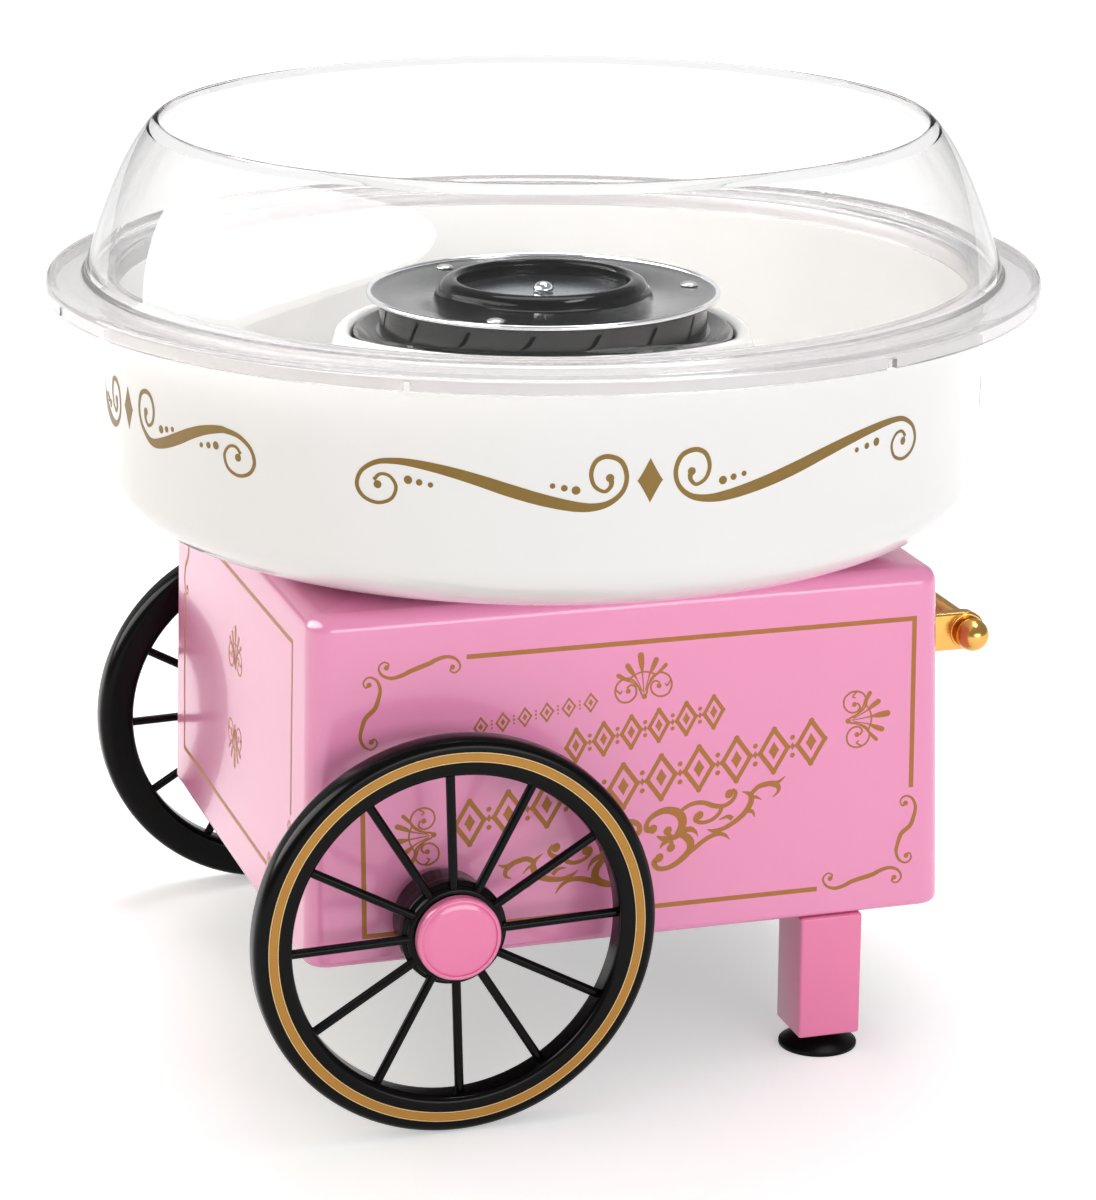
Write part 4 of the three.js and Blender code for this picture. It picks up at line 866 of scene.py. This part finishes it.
def make_element():
    """A sheathed heating rod bent into a nearly full ring, its ends turned down."""
    level, radius, rod, around = 203.0, 38.0, 2.6, 20
    gap, bend, tail = 12.0, 4.0, 9.0
    bend_turn = math.degrees(bend / radius)
    line = [(gap, level - bend - tail), (gap, level - bend - tail / 2)]
    line += [(gap + bend_turn * inset / bend, level - drop) for inset, drop in quarter_round(bend, 6)]
    first_end = line[::-1]
    line += [(gap + bend_turn + (360 - 2 * gap - 2 * bend_turn) * k / 120, level) for k in range(1, 120)]
    line += [(360 - turn, z) for turn, z in first_end]
    spine = [Vector((radius * math.cos(math.radians(turn)), radius * math.sin(math.radians(turn)), z))
             for turn, z in line]
    rings = []
    for i, spot in enumerate(spine):
        run = (spine[min(i + 1, len(spine) - 1)] - spine[max(i - 1, 0)]).normalized()
        out = Vector((spot.x, spot.y, 0)).normalized()
        across = run.cross(out).normalized()
        out = across.cross(run).normalized()
        rings.append([tuple(spot + rod * (math.cos(lean) * out + math.sin(lean) * across))
                      for lean in (TAU * k / around for k in range(around))])
    return lofted("heating_element_sheath", rings, sheath, 50)


dress(make_element(), "cart", "plated_steel", "heating_element")


# Spinning head

disc = turned("head_plate_disc",
              [(25.7, 217.6), (49.6, 217.6), (50.4, 217.72), (52.2, 218.4), (52.2, 218.9), (50.3, 218.5),
               (49.6, 218.4), (25.9, 218.4), (25.7, 218.2)], head_steel, 192, sharp=50)
bead = turned("rolled_edge", arc(52.72, 218.72, 0.88, 0, 330, 11), chrome, 192, sharp=80)
dress(joined("head_plate_steel", [disc, bead]), "head", "head_steel", "head_plate")


def make_band_with_slots():
    """The head's band: sixteen slanted slots through a thin wall."""
    outer, inner, low, high = 49.6, 48.6, 207.7, 217.3
    slots, per_slot, slot_width, slot_height, slant = 16, 12, 1.6, 6.4, 30
    middle_radius, middle_level = (outer + inner) / 2, (low + high) / 2
    slot_half = math.degrees(slot_width / 2 / middle_radius)
    rows = (low, middle_level - slot_height / 2, middle_level, middle_level + slot_height / 2, high)
    lean = math.degrees(math.tan(math.radians(slant)) / middle_radius)
    pitch = 360 / slots
    turns = []
    for slot in range(slots):
        middle = slot * pitch
        turns += [middle - slot_half, middle + slot_half]
        turns += [middle + slot_half + (pitch - 2 * slot_half) * k / (per_slot - 1)
                  for k in range(1, per_slot - 1)]
    points, faces = [], []
    for radius in (outer, inner):
        for z in rows:
            for turn in turns:
                t = math.radians(turn + lean * (z - middle_level))
                points.append((radius * math.cos(t), radius * math.sin(t), z))
    size = len(turns)

    def corner(skin, row, k):
        return (skin * len(rows) + row) * size + k % size

    def face(*corners):
        faces.append([corner(*place) for place in corners])

    for k in range(size):
        is_slot = k % per_slot == 0
        for row in range(len(rows) - 1):
            if is_slot and row in (1, 2):
                for j in (k, k + 1):
                    face((0, row, j), (0, row + 1, j), (1, row + 1, j), (1, row, j))
            else:
                for skin in (0, 1):
                    face((skin, row, k), (skin, row, k + 1), (skin, row + 1, k + 1), (skin, row + 1, k))
        for row in (1, 3, 0, len(rows) - 1) if is_slot else (0, len(rows) - 1):
            face((0, row, k), (0, row, k + 1), (1, row, k + 1), (1, row, k))
    return to_mesh("head_slotted_band_steel", points, faces, band_steel_painted_shade)


dress(make_band_with_slots(), "head", "head_steel", "head_slotted_band")
base_line = rounded([(8.1, 206.6, 0), (50.6, 206.6, 0.3), (50.6, 207.4, 0.3), (8.1, 207.4, 0)], 3)
base_disc = turned("head_base_plate_steel", base_line, band_steel_painted_shade, 128)
dress(base_disc, "head", "head_steel", "head_base_plate")
cup_foot = [(25.7, 218.7), (32.3, 218.7), (32.6, 218.9), (32.6, 219.15), (32.3, 219.35), (31.8, 219.5)]
cup_round = arc(27.2, 219.3, 4.5, 6, 90, 16, 3.7)
cup_mouth = [(26.6, 222.9), (26.2, 222.6), (25.9, 222.1), (25.7, 221.4)]
cup = turned("sugar_cup_moulding", cup_foot + cup_round + cup_mouth, cup_black, 160, sharp=50)
dress(cup, "head", "cup_black", "sugar_cup")
hub_stem = [(3.3, 202.6), (7.4, 202.6), (7.8, 203.0), (7.8, 216.1)]
hub_flange = [(32.7, 216.1), (33, 216.4), (33, 217.3), (25.4, 217.3)]
cup_floor = [(25.4, 218.2), (25.2, 218.4), (0, 218.4), (0, 210.8), (3.3, 210.8)]
hub = turned("drive_hub_steel", hub_stem + hub_flange + cup_floor, floor_steel, 128)
dress(hub, "head", "head_steel", "drive_hub")
screw_shank = [(1.2, 215.9), (1.5, 216.2), (1.5, 218.7), (2.8, 218.7), (3.1, 218.9)]
screw_dome = arc(0, 219.1, 3.1, 0, 90, 12, 2.5)[:-1] + [(0, 221.6)]
screw_top = turned("dome_screw_steel", screw_shank + screw_dome + [(0, 215.9)], chrome, 64)
dress(screw_top, "head", "polished_steel", "dome_screw")
rivet_tail = [(1.2, 206.1), (1.9, 205.95), (2, 206.6), (1.2, 206.6)]
rivet_head = [(1.2, 218.7), (2.6, 218.7)] + arc(0, 218.75, 2.6, 0, 90, 8, 0.95)[:-1] + [(0, 219.7)]
RIVET_CIRCLE = 45.4
for i in range(3):
    turn = math.radians(115 + 120 * i)
    rivet = turned("head_rivet_%d_steel" % (i + 1), rivet_tail + rivet_head + [(0, 205.9)], plated, 40,
                   at=(RIVET_CIRCLE * math.cos(turn), RIVET_CIRCLE * math.sin(turn), 0))
    dress(rivet, "head", "head_steel", "head_rivet_%d" % (i + 1))


# Printed ornaments

def smooth_line(knots, per):
    """A curve through knots of (across, up, width), with per steps from each to the next."""
    def between(a, b, c, d, t):
        return 0.5 * (2 * b + (c - a) * t + (2 * a - 5 * b + 4 * c - d) * t * t
                      + (3 * b - a - 3 * c + d) * t ** 3)

    line = []
    last = len(knots) - 1
    for i in range(last):
        four = [knots[max(0, min(last, i + k))] for k in (-1, 0, 1, 2)]
        line += [tuple(between(*values, k / per) for values in zip(*four)) for k in range(per)]
    return line + [tuple(knots[-1])]


def stroke(*knots, per=6):
    """A brush stroke: pairs of points on its two sides."""
    line = smooth_line(knots, per)
    pairs = []
    for i, (x, y, width) in enumerate(line):
        before, after = line[max(i - 1, 0)], line[min(i + 1, len(line) - 1)]
        run = Vector((after[0] - before[0], after[1] - before[1])).normalized()
        half = max(width, 0.12) / 2
        pairs.append(((x - half * run.y, y + half * run.x), (x + half * run.y, y - half * run.x)))
    return pairs


def dot(x, y, radius):
    """A round dot."""
    steps = 12
    pairs = []
    for t in (math.pi * k / steps for k in range(steps + 1)):
        spot, reach = x - radius * math.cos(t), max(radius * math.sin(t), 0.02)
        pairs.append(((spot, y + reach), (spot, y - reach)))
    return pairs


def lozenge(x, y, half_wide, half_tall, steps):
    """A diamond with slightly hollow sides."""
    pairs = []
    for k in range(-steps, steps + 1):
        reach = max((1 - abs(k) / steps) ** 1.12 * half_tall, 0.03)
        spot = x + half_wide * k / steps
        pairs.append(((spot, y + reach), (spot, y - reach)))
    return pairs


def straight(x1, y1, x2, y2, width, pieces=12):
    """A straight line's stroke, in short lengths so that it can follow a curve."""
    half = Vector((x2 - x1, y2 - y1)).normalized() * width / 2
    pairs = []
    for k in range(pieces + 1):
        x, y = x1 + (x2 - x1) * k / pieces, y1 + (y2 - y1) * k / pieces
        pairs.append(((x - half.y, y + half.x), (x + half.y, y - half.x)))
    return pairs


def turned_pairs(strips, change):
    """The strips, each of their points changed."""
    return [[(change(*a), change(*b)) for a, b in strip] for strip in strips]


FILM_TOP, FILM_STEP, FILM_ROOT = 0.05, 0.003, -0.04


def film(name, strips, material):
    """A thin film over flat strips of (across, up) pairs, each a little higher than the last."""
    points, faces = [], []
    for order, strip in enumerate(strips):
        start = len(points)
        top = FILM_TOP + FILM_STEP * (order % 9)
        for a, b in strip:
            points += [(*a, top), (*b, top), (*b, FILM_ROOT), (*a, FILM_ROOT)]
        count = len(strip)
        for i in range(count - 1):
            p, q = start + 4 * i, start + 4 * (i + 1)
            faces += [[p + k, p + (k + 1) % 4, q + (k + 1) % 4, q + k] for k in range(4)]
        faces += [[start + k for k in range(4)], [start + 4 * (count - 1) + k for k in range(4)]]
    return to_mesh(name, points, faces, material, 40)


def in_a_row(piece, count, across, up):
    """The piece set count times, each a step across and up from the last."""
    return grown(piece, ROW_SETTER, Count=count, Step=(across * MM, up * MM, 0.0),
                 Material=piece.data.materials[0])


def laid(piece, place):
    """Lays a flat drawing on a surface: place turns (across, up, out) into a point of the machine."""
    for vertex in piece.data.vertices:
        vertex.co = Vector(place(*(vertex.co / MM))) * MM
    piece.data.update()
    return piece


def on_long_wall(side):
    """A place on a long wall, the near one at -Y or the far one at +Y."""
    return lambda u, v, h: (-side * u, side * (body_half(HALF_WIDTH, v) + h), v)


def on_end_wall(side):
    """A place on an end wall, the left one at -X or the right one at +X."""
    return lambda u, v, h: (side * (body_half(HALF_LENGTH, v) + h), side * u, v)


BOWL_PRINT_LEVEL, BOWL_PRINT_RADIUS = 193.8, 132.1
BOWL_BEND_LEVEL, BOWL_BEND_RADIUS, BOWL_RISE_PER_WIDENING = 169.2, 131.6, 52.5


def on_bowl(turn):
    """A place on the bowl's outer wall, about a turn in degrees."""
    def place(u, v, h):
        z = BOWL_PRINT_LEVEL + v
        radius = BOWL_BEND_RADIUS + (z - BOWL_BEND_LEVEL) / BOWL_RISE_PER_WIDENING + h
        angle = math.radians(turn) + u / BOWL_PRINT_RADIUS
        return radius * math.cos(angle), radius * math.sin(angle), z
    return place


# How far along from the inner spiral to the outer one, then across and up from there, and the width
SCROLL_KNOTS = (
    (0, -0.4, -0.7, 1.5), (0, -0.2, -2.4, 1.2), (0, 1.5, -3.8, 1.0), (0, 4.2, -2.2, 1.1),
    (0, 5.2, 1.3, 1.2), (0, 3.9, 4.8, 1.3), (0, 0.8, 6.1, 1.4), (0, -3.0, 4.6, 1.4),
    (0, -4.6, 0.4, 1.3), (0, -3.6, -3.8, 1.3), (0, -0.2, -6.9, 1.6), (0.065, 0, -7.9, 2.2),
    (0.15, 0, -7.3, 2.9), (0.28, 0, -5.0, 3.4), (0.42, 0, -1.9, 3.6), (0.56, 0, 1.4, 3.3),
    (0.7, 0, 4.2, 2.8), (0.84, 0, 6.2, 2.2), (1, -4.2, 7.0, 1.7), (1, 0.6, 6.2, 1.4),
    (1, 4.8, 3.4, 1.2), (1, 6.2, -0.6, 1.2), (1, 4.2, -3.9, 1.1), (1, 0, -5.2, 1.0),
    (1, -4.0, -3.7, 1.0), (1, -5.4, -0.2, 1.0), (1, -3.6, 2.6, 0.9), (1, -0.8, 3.0, 0.9),
    (1, 1.1, 1.2, 1.1))


def scroll(side, inner, outer):
    """One long S-scroll of the bowl's print, on one side of its diamond, with its dots.

    inner and outer are its spirals' centres, measured away from the diamond and up."""
    (x0, y0), (x1, y1) = inner, outer
    reach, rise = x1 - x0, y1 - y0
    line = [(side * (x0 + reach * t + across), y0 + rise * t + up, width)
            for t, across, up, width in SCROLL_KNOTS]
    parts = [stroke(*line, per=7), dot(side * x0, y0, 1.15), dot(side * x1, y1, 1.15)]
    stretch = max(reach - 64.6, 0)
    for k, radius in enumerate((1.2, 0.92, 0.76)):
        parts.append(dot(side * (x0 + 9.3 + 3.2 * k), y0 - 3.3 + 0.65 * k, radius))
        spot = x1 - 8.9 - 0.33 * stretch - (3.2 + 0.08 * stretch) * k
        parts.append(dot(side * spot, y1 + 2.0 - 0.5 * k, radius))
    return parts


# The turn of each group's diamond and how far it is raised, then the spirals to its left and its right
BOWL_GROUPS = ((-94.4, 0, (11.2, 1.1), (75.8, -2.7), (11.8, 1.8), (87.0, 0.2)),
               (12.0, 0, (11.5, 1.4), (80.0, -0.6), (11.5, 1.4), (80.0, -0.6)),
               (99.5, 0, (11.5, 1.4), (80.0, -0.6), (11.5, 1.4), (80.0, -0.6)),
               (-172.8, 1.7, (12.6, 1.4), (72.0, -1.5), (13.6, 3.5), (58.6, -1.3)))
for number, (turn, rise, left_in, left_out, right_in, right_out) in enumerate(BOWL_GROUPS):
    drawing = lozenge(0, rise, 3.6, 6.3, 8), *scroll(-1, left_in, left_out), *scroll(1, right_in, right_out)
    bowl_print = film("bowl_scroll_print_%d" % (number + 1), drawing, bowl_gold)
    dress(laid(bowl_print, on_bowl(turn)), "bowl", "gold_plastic")


def corner_scroll(x, y, reach, drop, upright):
    """A small S-scroll that closes a frame's corner, laid along the top or set upright."""
    half = [(0.1, 0.1, 0.9), (0.7, 1.0, 0.5), (-0.6, 1.7, 0.5), (-1.9, 0.9, 0.55), (-2.2, -0.5, 0.6),
            (-1.0, -2.3, 0.8), (1.6, -3.2, 1.0), (4.6, -2.6, 1.2), (7.2, -1.5, 1.35)]
    knots = half + [(reach - a, -drop - b, w) for a, b, w in half[::-1]]
    parts = [stroke(*knots, per=5), dot(0, 0, 0.75), dot(reach, -drop, 0.75)]
    if upright:
        return turned_pairs(parts, lambda a, b: (x - b, y - a))
    return turned_pairs(parts, lambda a, b: (x + a, y + b))


def make_frame(left, right, low, high, top_start, right_end, bottom_end, left_start):
    """A ruled frame, open at its top left and bottom right corners, where scrolls close it."""
    wide = 1.4
    half = wide / 2
    return [straight(top_start, high, right + half, high, wide),
            straight(right, high + half, right, right_end, wide),
            straight(bottom_end, low, left - half, low, wide),
            straight(left, low - half, left, left_start, wide),
            *corner_scroll(left + 7.5, high - 1.2, 19.4, 1.4, False),
            *corner_scroll(left + 2.4, high - 5.8, 16.8, 0.4, True),
            *corner_scroll(right - 25.2, low + 2.8, 20.4, 1.7, False),
            *corner_scroll(right - 1.6, right_end - 4.8, 16.4, 0.5, True)]


def palmette(x, y, turn):
    """Five petals over two looped curls, about a middle and turned by degrees."""
    petals = ((0, 7.7, 1.9), (4.5, 5.6, 1.6), (-4.2, 5.2, 1.6), (7.3, 3.6, 1.1), (-7.2, 2.8, 1.3))
    loop = ((0.7, -4.2), (1.6, -1.4), (3.3, 1.0), (5.6, 1.6), (7.9, 0.2), (8.6, -2.6), (7.2, -5.1),
            (4.6, -5.5), (2.6, -4.0), (2.3, -1.8), (3.6, -0.6), (5.0, -1.4))
    parts = []
    for tip_x, tip_y, width in petals:
        foot_x, foot_y = tip_x * 0.1, -3.6 + abs(tip_x) * 0.12
        rise = tip_y - foot_y
        parts.append(stroke((foot_x, foot_y, 0.3), (tip_x * 0.45, foot_y + rise * 0.5, 0.45),
                            (tip_x * 0.75, foot_y + rise * 0.76, width * 0.85), (tip_x, tip_y, width)))
        parts.append(dot(tip_x, tip_y, width / 2))
    for way in (-1, 1):
        parts.append(stroke(*[(way * a, b, 0.55) for a, b in loop]))
        parts.append(dot(way * 4.7, -2.3, 0.75))
        parts.append(stroke((way * 8.4, -1.2, 0.5), (way * 7.2, -2.6, 0.5), (way * 6.6, -1.8, 0.4)))
    parts += [stroke((-4.2, 1.2, 0.45), (-2.0, 2.3, 0.5), (0, 2.7, 0.5), (2.0, 2.3, 0.5), (4.2, 1.2, 0.45)),
              dot(0, -4.7, 0.8)]
    c, s = math.cos(math.radians(turn)), math.sin(math.radians(turn))
    return turned_pairs(parts, lambda a, b: (x + a * c - b * s, y + a * s + b * c))


def flourish(x, y, side, slant):
    """A leafy spray from its foot towards the right, or mirrored to the left, rising by its slant."""
    parts = [
        stroke((3.4, 7.0, 2.2), (1.2, 7.3, 1.7), (1.4, 9.6, 1.5), (4.0, 11.3, 1.8), (7.6, 11.3, 2.1),
               (11.0, 9.2, 2.5), (12.2, 6.0, 2.6), (10.6, 2.8, 2.2), (8.6, 2.4, 1.2)),
        dot(3.0, 6.9, 1.35),
        stroke((5.2, -2.6, 2.2), (3.4, -3.4, 1.7), (4.6, -5.6, 1.4), (7.6, -6.4, 1.5), (11.2, -5.4, 1.9),
               (14.2, -3.2, 2.2), (14.6, -0.6, 2.3), (12.8, 1.8, 2.0), (10.2, 3.0, 1.0)),
        dot(5.0, -2.5, 1.35),
        stroke((11.4, -5.3, 1.0), (15.4, -3.2, 1.5), (19.2, -1.3, 1.5), (22.6, -0.7, 1.3),
               (25.2, -1.7, 1.0), (26.8, -3.6, 0.2)),
        dot(7.6, 5.0, 1.3), dot(8.6, -0.5, 1.3), dot(8.4, 2.4, 1.2),
        stroke((7.6, 4.4, 1.6), (8.6, 2.2, 1.2), (8.7, 0, 1.6)),
        stroke((4.2, 4.4, 0.3), (6.2, 3.0, 1.5), (8.8, 2.4, 1.6)),
        stroke((5.2, 0.3, 0.3), (6.4, 1.6, 1.4), (8.6, 2.3, 1.6)),
        stroke((11.0, 3.6, 1.8), (14.4, 3.4, 1.6), (16.2, 2.0, 0.9), (16.9, 0.4, 0.2)),
        stroke((10.8, 9.0, 0.8), (12.4, 10.2, 1.2), (15.2, 10.9, 1.3), (18.4, 10.3, 1.3), (21.8, 8.3, 1.4),
               (24.8, 7.3, 1.3), (27.4, 8.1, 1.3), (28.6, 10.0, 1.2), (27.4, 11.4, 1.3)),
        dot(26.6, 10.5, 1.35),
        stroke((24.4, 7.4, 1.2), (23.4, 5.4, 1.3), (20.9, 4.1, 1.2), (18.0, 4.3, 1.1), (16.0, 5.8, 1.2),
               (16.6, 7.4, 1.3)),
        dot(17.3, 6.7, 1.3),
        stroke((19.8, 1.6, 0.2), (22.0, 0.5, 1.2), (25.0, 0.4, 1.4), (28.6, 1.5, 1.6), (31.4, 3.2, 1.8),
               (33.2, 5.6, 1.9), (33.2, 8.2, 1.5), (30.6, 9.9, 0.2)),
        stroke((27.6, 2.6, 1.4), (26.0, 3.7, 1.1), (23.4, 3.4, 0.2)),
        stroke((32.0, 3.6, 1.2), (33.8, 2.8, 1.0), (34.6, 0.9, 0.2)),
        stroke((32.8, 7.0, 1.2), (34.8, 7.0, 0.9), (36.6, 5.6, 0.2)),
        stroke((33.0, 8.0, 1.3), (35.4, 9.8, 1.5), (38.6, 9.9, 1.6), (41.6, 9.4, 1.2), (44.0, 10.6, 0.2)),
        stroke((39.4, 9.6, 1.3), (41.6, 8.4, 1.5), (41.8, 6.6, 1.0), (40.1, 5.3, 0.2)),
    ]
    return turned_pairs(parts, lambda a, b: (x + side * a, y + b + side * slant * a))


def lozenge_ring(half_wide, half_tall, wide):
    """A hollow lozenge with a dot in it."""
    corners = ((half_wide, 0), (0, half_tall), (-half_wide, 0), (0, -half_tall), (half_wide, 0))
    parts = [straight(*corners[k], *corners[k + 1], wide, 3) for k in range(4)]
    parts += [dot(*corner, wide * 0.62) for corner in corners[:4]]
    return parts + [lozenge(0, 0, half_wide * 0.38, half_tall * 0.42, 3)]


def panel_print(drawing, place):
    """A drawn print laid on one of the cart's walls, where it rides."""
    dress(laid(drawing, place), "cart", "gold_plastic")


LONG_FRAME = make_frame(-81.1, 86.8, 53.6, 134.3, -50.0, 82.4, 57.4, 94.1)
front_drawing = (LONG_FRAME + palmette(2.8, 122.6, 5) + palmette(71.1, 105.2, -84)
                 + palmette(-64.9, 81.8, 96) + flourish(3.0, 69.8, 1, 0.21) + flourish(3.0, 69.8, -1, 0.21))
rear_drawing = LONG_FRAME + palmette(0, 118.6, 0) + flourish(0, 90.0, 1, 0.0) + flourish(0, 90.0, -1, 0.0)
panel_print(film("front_panel_print", front_drawing, deck_gold), on_long_wall(-1))
panel_print(film("rear_panel_print", rear_drawing, deck_gold), on_long_wall(1))


def lozenge_band(name, start, slant, pitch, count, half_wide, half_tall, wide):
    """A band of lozenges with a dot between each two, rising by its slant."""
    def leant(strips):
        return turned_pairs(strips, lambda a, b: (start[0] + a, start[1] + b + slant * a))

    gap = pitch / 2
    between = [dot(gap, half_tall * 0.42, wide * 0.55), lozenge(gap, 0, wide * 0.6, wide * 0.9, 3),
               dot(gap, -half_tall * 0.42, wide * 0.55)]
    large = film("lozenges", leant(lozenge_ring(half_wide, half_tall, wide)), deck_gold)
    small = film("dots", leant(between), deck_gold)
    return joined(name, [in_a_row(large, count, pitch, pitch * slant),
                         in_a_row(small, count - 1, pitch, pitch * slant)])


# Each band's name, first lozenge, slant, pitch, count, half width, half height and line width
for band in (("front_band_small", (-46.0, 113.2), 0.13, 6.6, 6, 1.9, 2.6, 0.55),
             ("front_band_middle", (-17.5, 105.0), 0.15, 8.4, 6, 2.9, 4.7, 1.1),
             ("front_band_large", (-49.5, 84.8), 0.14, 11.6, 10, 4.3, 6.5, 1.35)):
    panel_print(lozenge_band(*band), on_long_wall(-1))

left_drawing = (make_frame(-74.2, 68.6, 59.6, 136.6, -43.2, 84.6, 39.6, 111.2)
                + palmette(-2.8, 112.4, 0) + palmette(-2.8, 84.2, 180))
right_drawing = make_frame(-54, 54, 60, 108, -23, 86.5, 25, 81.5) + palmette(0, 84, 0)
panel_print(film("left_end_print", left_drawing, deck_gold), on_end_wall(-1))
panel_print(film("right_end_print", right_drawing, deck_gold), on_end_wall(1))


# Nodes carried over from the frame

# A node takes the first of these finishes whose name its own starts with
FINISHES = {"base_plate": frame_black, "base_screw": plated, "axle_bush": frame_black, "axle": plated,
            "element_saddle": ceramic, "motor_can": plated, "motor_stator": sheath, "motor_bracket": plated,
            "motor_bearing": bronze, "bracket_screw": plated, "motor_screw": plated, "motor_shaft": chrome,
            "motor_armature": sheath, "cooling_fan": frame_black, "drive_pin": chrome,
            "switch_housing": frame_black, "switch_rocker": frame_black, "cord_inlet": frame_black}
LEFT_SHARP = ("motor_stator", "motor_screw", "motor_shaft")
for name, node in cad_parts.items():
    start = next((start for start in FINISHES if name.startswith(start)), None)
    if start is None:
        continue
    for entry in node.material_slots:
        entry.material = FINISHES[start]
    if start not in LEFT_SHARP:
        soften = node.modifiers.new("soft_edge", "BEVEL")
        soften.width = 0.3 * MM
        soften.segments = 2
        soften.limit_method = "ANGLE"


# Floor, world and lamps

def make_floor():
    """A floor, pale to the camera and in what reflects or passes it, that keeps the object's shadow."""
    half = 30.0
    corners = [(x * half, y * half, 0) for x, y in ((-1, -1), (1, -1), (1, 1), (-1, 1))]
    floor = bpy.data.objects.new("floor", bpy.data.meshes.new("floor"))
    bpy.context.scene.collection.objects.link(floor)
    floor.data.from_pydata(corners, [], [(0, 1, 2, 3)])
    material = bpy.data.materials.new("pale_floor")
    material.use_nodes = True
    tree = material.node_tree
    shader = tree.nodes["Principled BSDF"]
    for label, value in (("Base Color", linear(250, 250, 250)), ("Roughness", 0.7),
                         ("Specular IOR Level", 0.2), ("Emission Color", (1, 1, 1, 1))):
        shader.inputs[label].default_value = value
    rays = tree.nodes.new("ShaderNodeLightPath")
    seen = math_node(tree, "MAXIMUM", (rays, "Is Camera Ray"), (rays, "Is Glossy Ray"))
    seen = math_node(tree, "MAXIMUM", (seen, 0), (rays, "Is Transmission Ray"))
    place = tree.nodes.new("ShaderNodeTexCoord")
    reach = tree.nodes.new("ShaderNodeVectorMath")
    reach.operation = "LENGTH"
    link_nodes(tree, place, "Object", reach, 0)
    rise = tree.nodes.new("ShaderNodeMapRange")
    for label, value in (("From Min", 0.35), ("From Max", 1.6), ("To Min", 0.4), ("To Max", 0.62)):
        rise.inputs[label].default_value = value
    link_nodes(tree, reach, "Value", rise, "Value")
    lift = math_node(tree, "MULTIPLY", (seen, 0), (rise, 0))
    link_nodes(tree, lift, 0, shader, "Emission Strength")
    floor.data.materials.append(material)


WORLD_LEVEL, GLOSSY_DIMMING = 0.5, 0.15


def make_world():
    """White to the camera and through the clear guard, dimmer as light and dimmest in metal and gloss."""
    world = bpy.data.worlds.new("studio")
    bpy.context.scene.world = world
    world.use_nodes = True
    tree = world.node_tree
    sky = tree.nodes["Background"]
    sky.inputs["Color"].default_value = (1, 1, 1, 1)
    rays = tree.nodes.new("ShaderNodeLightPath")
    seen = math_node(tree, "MAXIMUM", (rays, "Is Camera Ray"), (rays, "Is Transmission Ray"))
    dimming = math_node(tree, "MULTIPLY", (rays, "Is Glossy Ray"), GLOSSY_DIMMING)
    level = math_node(tree, "SUBTRACT", WORLD_LEVEL, (dimming, 0))
    strength = math_node(tree, "MAXIMUM", (seen, 0), (level, 0))
    link_nodes(tree, strength, 0, sky, "Strength")


def lamp(name, turn, height, away, size, power, color=(1, 1, 1), roll=0):
    """An oval softbox, its direction given by its turn about Z and its height in degrees."""
    light = bpy.data.lights.new(name, "AREA")
    light.shape = "ELLIPSE"
    light.size, light.size_y = size
    light.energy = power
    light.color = color
    holder = bpy.data.objects.new(name, light)
    bpy.context.scene.collection.objects.link(holder)
    aim = Vector((0, 0, 0.15))
    turn, height = math.radians(turn), math.radians(height)
    way = Vector((math.cos(height) * math.cos(turn), math.cos(height) * math.sin(turn), math.sin(height)))
    holder.location = aim + way * away
    facing = (-way).to_track_quat("-Z", "Y").to_matrix() @ Matrix.Rotation(math.radians(roll), 3, "Z")
    holder.rotation_euler = facing.to_euler()
    return holder


make_floor()
make_world()
lamp("left_softbox", 168, 28, 1.6, (1.5, 1.3), 5, (1.0, 0.87, 0.64))
lamp("left_reflector", 172, 32, 1.6, (2.7, 0.95), 50, roll=25).visible_diffuse = False
lamp("top_reflector", -20, 72, 2.0, (0.9, 0.35), 16).visible_diffuse = False
lamp("front_softbox", -76, 9, 2.3, (1.8, 0.6), 16)
lamp("back_softbox", 73, 65, 2.0, (1.3, 1.1), 17)
bpy.context.scene.view_settings.view_transform = "Standard"
